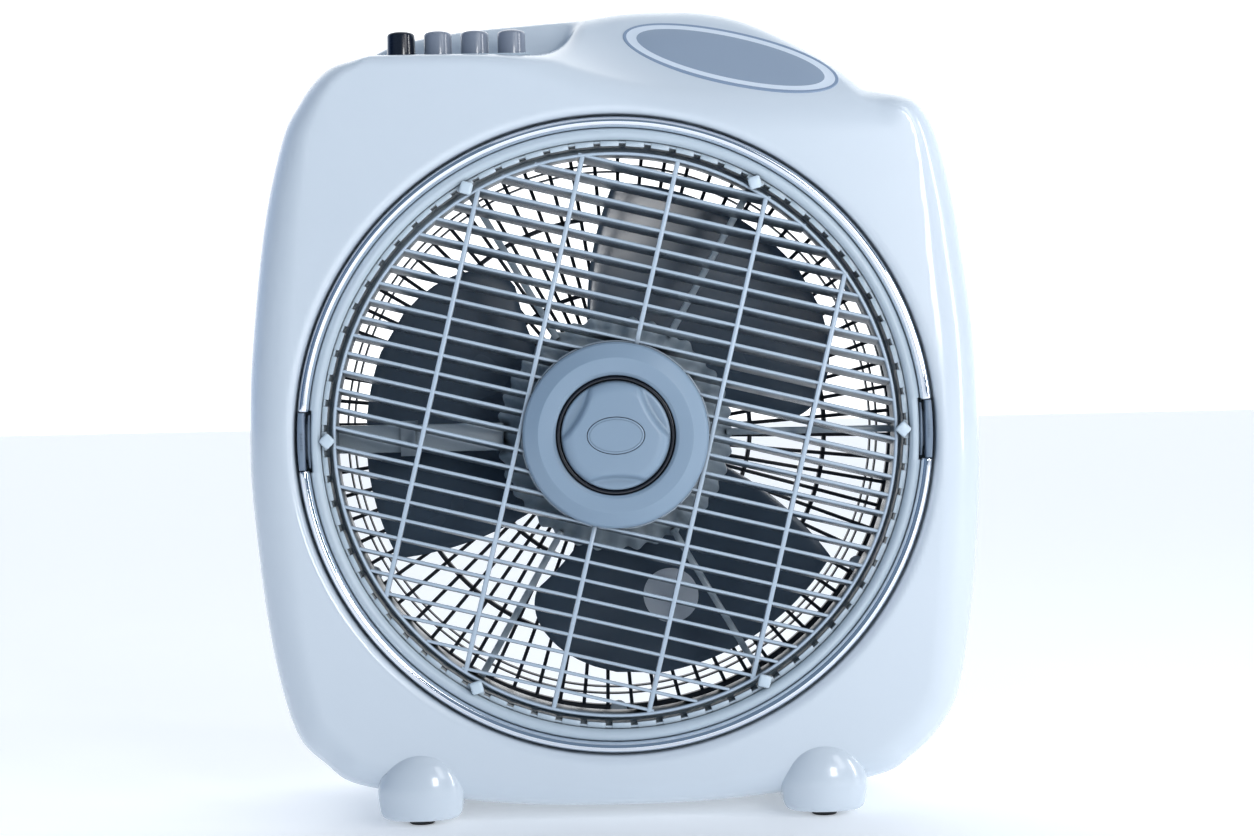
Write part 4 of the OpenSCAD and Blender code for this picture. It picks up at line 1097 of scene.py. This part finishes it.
def makePads():
    low, high = span("rubber_pads")
    r, tall = pads["radius"], pads["height"]
    inner, outer = pads["groove"]
    profile = filleted([(0, 0, 0), (r - 0.9, 0, 0.8), (r, 1.4, 0.8), (r, tall, 0), (0, tall, 0)], 4)
    groove = filleted([(inner, 0, 0), (outer, 0, 0), (outer, 0.5, 0), (inner, 0.5, 0)], 2)
    parts = []
    for x in (low[0] + r, high[0] - r):
        for y in (low[1] + r, high[1] - r):
            parts.append(spun(profile, 48, change=upright((x, y, 0))))
            parts.append(spun(groove, 48, change=upright((x, y, 0))))
    fit(solidMesh("rubberPads", join(*parts), finishes["rubber"]), "housing", "rubber", "rubber_pads")


screws = {
    "radius": 3,
    "height": 2.2,
    "big": 4,                  # radius and height of the housing screws' heads
    "bigHeight": 3,
    "cross": 0.55,
    "crossLong": 1.9,
    "cell": 0.22,
}


def screwField(x, y, z):
    # a pan head standing on y = 0 and reaching toward +Y, with a cross recess
    s = screws
    radius = np.hypot(x, z)
    dome = y - s["height"] + 0.09 * radius ** 2 * 0.8
    field = softMax(softMax(radius - s["radius"], dome, 0.8), -y, 0.1)
    one = np.maximum(np.abs(x) - s["cross"], np.abs(z) - s["crossLong"])
    two = np.maximum(np.abs(z) - s["cross"], np.abs(x) - s["crossLong"])
    recess = np.maximum(np.minimum(one, two) + 0.25 * (s["height"] - y) * 0.6, 1.0 - y)
    return softMax(field, -recess, 0.15)


def makeScrews():
    s = screws
    r, tall = s["radius"], s["height"]
    points, faces = moulded(screwField, (-r, 0, -r), (r, tall, r), s["cell"])[:2]
    head = ([tuple(p) for p in points], [tuple(f) for f in faces])
    shank = spun([(0, -9), (1.45, -8.2), (1.5, 0.1), (0, 0.1)], 20)
    low, high = span("grille_screws")
    seat = high[1] - tall
    grille = join(head, shank)
    parts = []
    for i in range(6):
        a = math.radians(30 + 60 * i)
        x, z = shell["screwRing"] * math.cos(a), shell["screwRing"] * math.sin(a) + axisHeight
        parts.append(place(grille, lambda u, v, w: (x + u, seat + max(v, low[1] - seat), z + w)))
    fit(solidMesh("grilleScrews", join(*parts), finishes["steel"]), "housing", "steel", "grille_screws")
    low, high = span("housing_screws")
    grown = place(head, lambda u, v, w: (u * s["big"] / r, v * s["bigHeight"] / tall, w * s["big"] / r))
    seat = high[1] - s["bigHeight"]
    long = spun(filleted([(0, low[1] - seat, 0), (1.5, low[1] - seat + 1, 0.3), (1.6, low[1] - seat + 2, 0),
                          (1.6, 0.1, 0), (0, 0.1, 0)], 2), 20)
    parts = []
    for bx, bz in shell["bosses"]:
        parts.append(place(join(grown, long), lambda u, v, w: (bx + u, seat + v, bz + w)))
    fit(solidMesh("housingScrews", join(*parts), finishes["steel"]), "housing", "steel", "housing_screws")


blades = {
    "hub": 32,
    "tip": 139.8,
    "thick": 2.2,
    "deep": 44,
    "first": 176,
    "count": 3,
    "rows": 34,
    "columns": 40,
    "sticker": 15.5,
    "stickerPlace": 98,
    "stickerAngle": -8,
    "stickerBlade": -240,
}


def bladeEdges(r):
    s = blades
    leading = 52 - 19 * (r - s["hub"]) / (140 - s["hub"])
    if r < 100:
        return leading, -36 - 17 * (r - s["hub"]) / (100 - s["hub"])
    return leading, -12 - 41 * math.sqrt(max(0, 1 - ((r - 100) / 40) ** 2))


def bladeDepth(angle):
    return -(blades["deep"] - blades["thick"]) / 2 * (angle - 0.5) / 52.5


def bladePart():
    s = blades
    start = s["hub"] - 3
    radii = [start + (s["tip"] - start) * (i / s["rows"]) ** 0.75 for i in range(s["rows"] + 1)]
    halfTurns = [0.06 + 0.88 * j / s["columns"] for j in range(s["columns"] + 1)]
    shares = [0.5 - 0.5 * math.cos(math.pi * h) for h in halfTurns]
    first, last = shares[0], shares[-1]
    shares = [(w - first) / (last - first) for w in shares]
    sides = []
    for side in (-1, 1):
        for r in radii:
            a, b = bladeEdges(r)
            for w in shares:
                angle = b + (a - b) * w
                edge = min(w, 1 - w) * math.radians(a - b) * r
                edge = min(edge, (s["tip"] - r) * 1.2)
                grown = 0.22 + 0.78 * math.sqrt(min(1, edge / 5) * (2 - min(1, edge / 5)))
                lift = side * s["thick"] / 2 * grown
                turn = math.radians(angle)
                sides.append((r * math.cos(turn), bladeDepth(angle) + lift, r * math.sin(turn)))
    wide = s["columns"] + 1
    rows = len(radii)
    n = rows * wide
    faces = []
    for i in range(rows - 1):
        for j in range(wide - 1):
            p = i * wide + j
            faces.append((p, p + 1, p + wide + 1, p + wide))
            faces.append((n + p, n + p + wide, n + p + wide + 1, n + p + 1))
    rim = [j for j in range(wide)] + [i * wide + wide - 1 for i in range(1, rows)]
    rim += [(rows - 1) * wide + wide - 1 - j for j in range(1, wide)]
    rim += [(rows - 1 - i) * wide for i in range(1, rows - 1)]
    for k, p in enumerate(rim):
        q = rim[(k + 1) % len(rim)]
        faces.append((q, p, n + p, n + q))
    return sides, faces


def makeFan():
    s = blades
    r, deep = s["hub"], s["deep"] / 2
    hub = filleted([(4.2, -deep, 0.3), (r - 4, -deep, 3), (r, -18, 3), (r, deep, 0.6), (r - 2.5, deep, 0.5),
                    (r - 2.5, -17, 1), (9, -19, 1), (9, 14, 0.4), (4.2, 14, 0)], 5)
    ribs = [turnedPart(roundBoxes([((8, -18.6, -0.9), (30, 6, 0.9))], 0.3), 60 * i) for i in range(6)]
    parts = [spread(bladePart(), s["count"], s["first"]), turnedPart(spun(hub, 128))] + ribs
    fit(solidMesh("fanBlades", join(*parts), finishes["smoke_plastic"], smoothAngle=50), "fan",
        "smoke_plastic", "fan_blade")
    edge = s["sticker"]
    rings = [(edge, 0.0), (edge, -0.3), (edge - 0.3, -0.4)]
    rings += [((edge - 0.5) * k / 7, -0.4) for k in range(7, 0, -1)]
    loops = []
    for size, lift in rings:
        loop = []
        for i in range(72):
            t = 2 * math.pi * i / 72
            px, pz = s["stickerPlace"] + size * math.cos(t), size * math.sin(t)
            angle = s["stickerAngle"] + math.degrees(math.atan2(pz, px))
            r = math.hypot(px, pz)
            turn = math.radians(angle)
            loop.append((r * math.cos(turn), bladeDepth(angle) - 1.35 + lift, r * math.sin(turn)))
        loops.append(loop)
    part = turnedPart(lofted(loops), s["first"] + s["stickerBlade"])
    fit(solidMesh("bladeSticker", part, finishes["sticker_film"]), "fan", "sticker_film", "blade_sticker")


rearGuard = {
    "front": 70,
    "back": 76,
    "ribs": 72,
    "ribHalf": 1.1,
    "swirl": 4,
    "start": 49,
    "long": 117,
    "ringInner": 164.6,
    "ringOuter": 170,
    "rings": ((82, 2.5), (126.5, 2.5), (154, 0.9), (158, 0.9)),
    "plate": 50,
}


def makeRearGrille():
    s = rearGuard
    y0, y1 = s["front"], s["back"]
    c, n = math.cos(math.radians(s["swirl"])), math.sin(math.radians(s["swirl"]))
    rib = roundBoxes([((0, y0, -s["ribHalf"]), (s["long"], y1, s["ribHalf"]))], 0.6)
    rib = place(rib, lambda x, y, z: (s["start"] + x * c - z * n, y, x * n + z * c))
    parts = [spread(rib, s["ribs"])]
    for r, wide in s["rings"]:
        e = min(0.6, wide * 0.4)
        a, b = r - wide / 2, r + wide / 2
        parts.append(ringPart([(a, y1, e), (a, y0, e), (b, y0, e), (b, y1, e)], 2, 216))
    a, b = s["ringInner"], s["ringOuter"]
    parts.append(ringPart([(a, y1, 0.8), (a, y0, 0.8), (b, y0, 0.4), (b, y1, 0.4)], 3, 288))
    plate = s["plate"]
    parts.append(ringPart([(0, y0, 0), (plate, y0, 0.8), (plate, y1, 0.9), (plate - 3, y1, 0.7),
                           (plate - 3, y0 + 3, 0.8), (14, y0 + 3, 0), (12, y0 + 2.4, 0.5), (0, y0 + 2.4, 0)],
                          3, 144))
    piece = solidMesh("rearGrille", join(*parts), finishes["dark_plastic"])
    fit(piece, "housing", "dark_plastic", "rear_grille")


feet = {
    "place": 107.5,
    "half": 23,
    "reach": 88,
    "nose": 14,
    "domeHeight": 16.5,
    "bottom": 3,
    "bottomRound": 5,
    "inside": 1.2,
    "cell": 1.5,
}


def footField(side):
    s = feet

    def field(x, y, z):
        along = np.maximum(np.abs(y) - (s["reach"] - s["nose"]), 0) * s["half"] / s["nose"]
        across = np.hypot(x - side * s["place"], along)
        dome = np.hypot(across, np.maximum(z - s["domeHeight"], 0)) - s["half"]
        taper = across - s["half"] + 0.13 * np.maximum(s["domeHeight"] - z, 0)
        solid = np.where(z > s["domeHeight"], dome, taper)
        solid = softMax(solid, s["bottom"] - z, s["bottomRound"])
        front = roundedBody(x, y, z, shell["face"], -1)[0]
        back = roundedBody(x, y, z, shell["back"], 1)[0]
        body = np.maximum(front, back)
        return np.maximum(solid, -(body + s["inside"]))

    return field


def makeFeet():
    cell = feet["cell"] * 1
    for side, node, name in ((-1, "left_foot", "leftFoot"), (1, "right_foot", "rightFoot")):
        low, high = span(node)
        foot = mouldedPiece(name, footField(side), low, high, cell, finishes["body_plastic"])
        fit(foot, "housing", slotOf[node], node)


labelPlate = {
    "size": (60.5, 20.5),
    "turn": 20,
    "edge": 1.9,
    "bandSide": 2.6,
    "bandEnd": 5.5,
    "rise": 0.42,
    "depth": 0.8,
}


def makeLabel():
    s = labelPlate
    cx, cy, cz = labelFace["centre"]
    lean, turn = labelFace["lean"], math.radians(s["turn"])
    a, b = s["size"]
    edge, rise = s["edge"], s["rise"]
    wide, high = edge + s["bandEnd"], edge + s["bandSide"]
    rows = [(0, 0, -s["depth"]), (0, 0, rise - 0.25), (0.25, 0.25, rise), (edge, edge, rise),
            (wide, high, rise), (wide + 0.3, high + 0.3, rise + 0.06)]
    rows += [(a * share, b * share, rise + 0.06) for share in (0.45, 0.65, 0.85, 0.97)]
    bands = [1, 1, 1, 2, 2, 0, 0, 0, 0, 0]
    loops = []
    for insetWide, insetHigh, lift in rows:
        loop = []
        for i in range(120):
            t = 2 * math.pi * i / 120
            u, v = (a - insetWide) * math.cos(t), (b - insetHigh) * math.sin(t)
            x = u * math.cos(turn) + v * math.sin(turn)
            up = -u * math.sin(turn) + v * math.cos(turn)
            loop.append((cx + x, cy + up * math.sin(lean) - lift * math.cos(lean),
                         cz + up * math.cos(lean) + lift * math.sin(lean)))
        loops.append(loop)
    verts, faces = lofted(loops)
    faceMaterials = []
    for band in bands[:len(rows) - 1]:
        faceMaterials += [band] * 120
    faceMaterials += [1, 0]
    plate = solidMesh("labelPlate", (verts, faces), finishes["label_print"], finishes["labelEdge"],
                      finishes["labelBand"], faceMaterials=faceMaterials)
    fit(plate, "housing", "label_print", "label_plate")


makeTrim()
makeLatches()
makeGuard()
print("trim, latches and guard made")
makeLouver()
makeKnob()
print("louver and knob made")
makeButtons()
makeSprings()
makePads()
makeScrews()
makeFan()
makeRearGrille()
print("fan and rear grille made")
makeFeet()
makeLabel()
print("feet and label made")
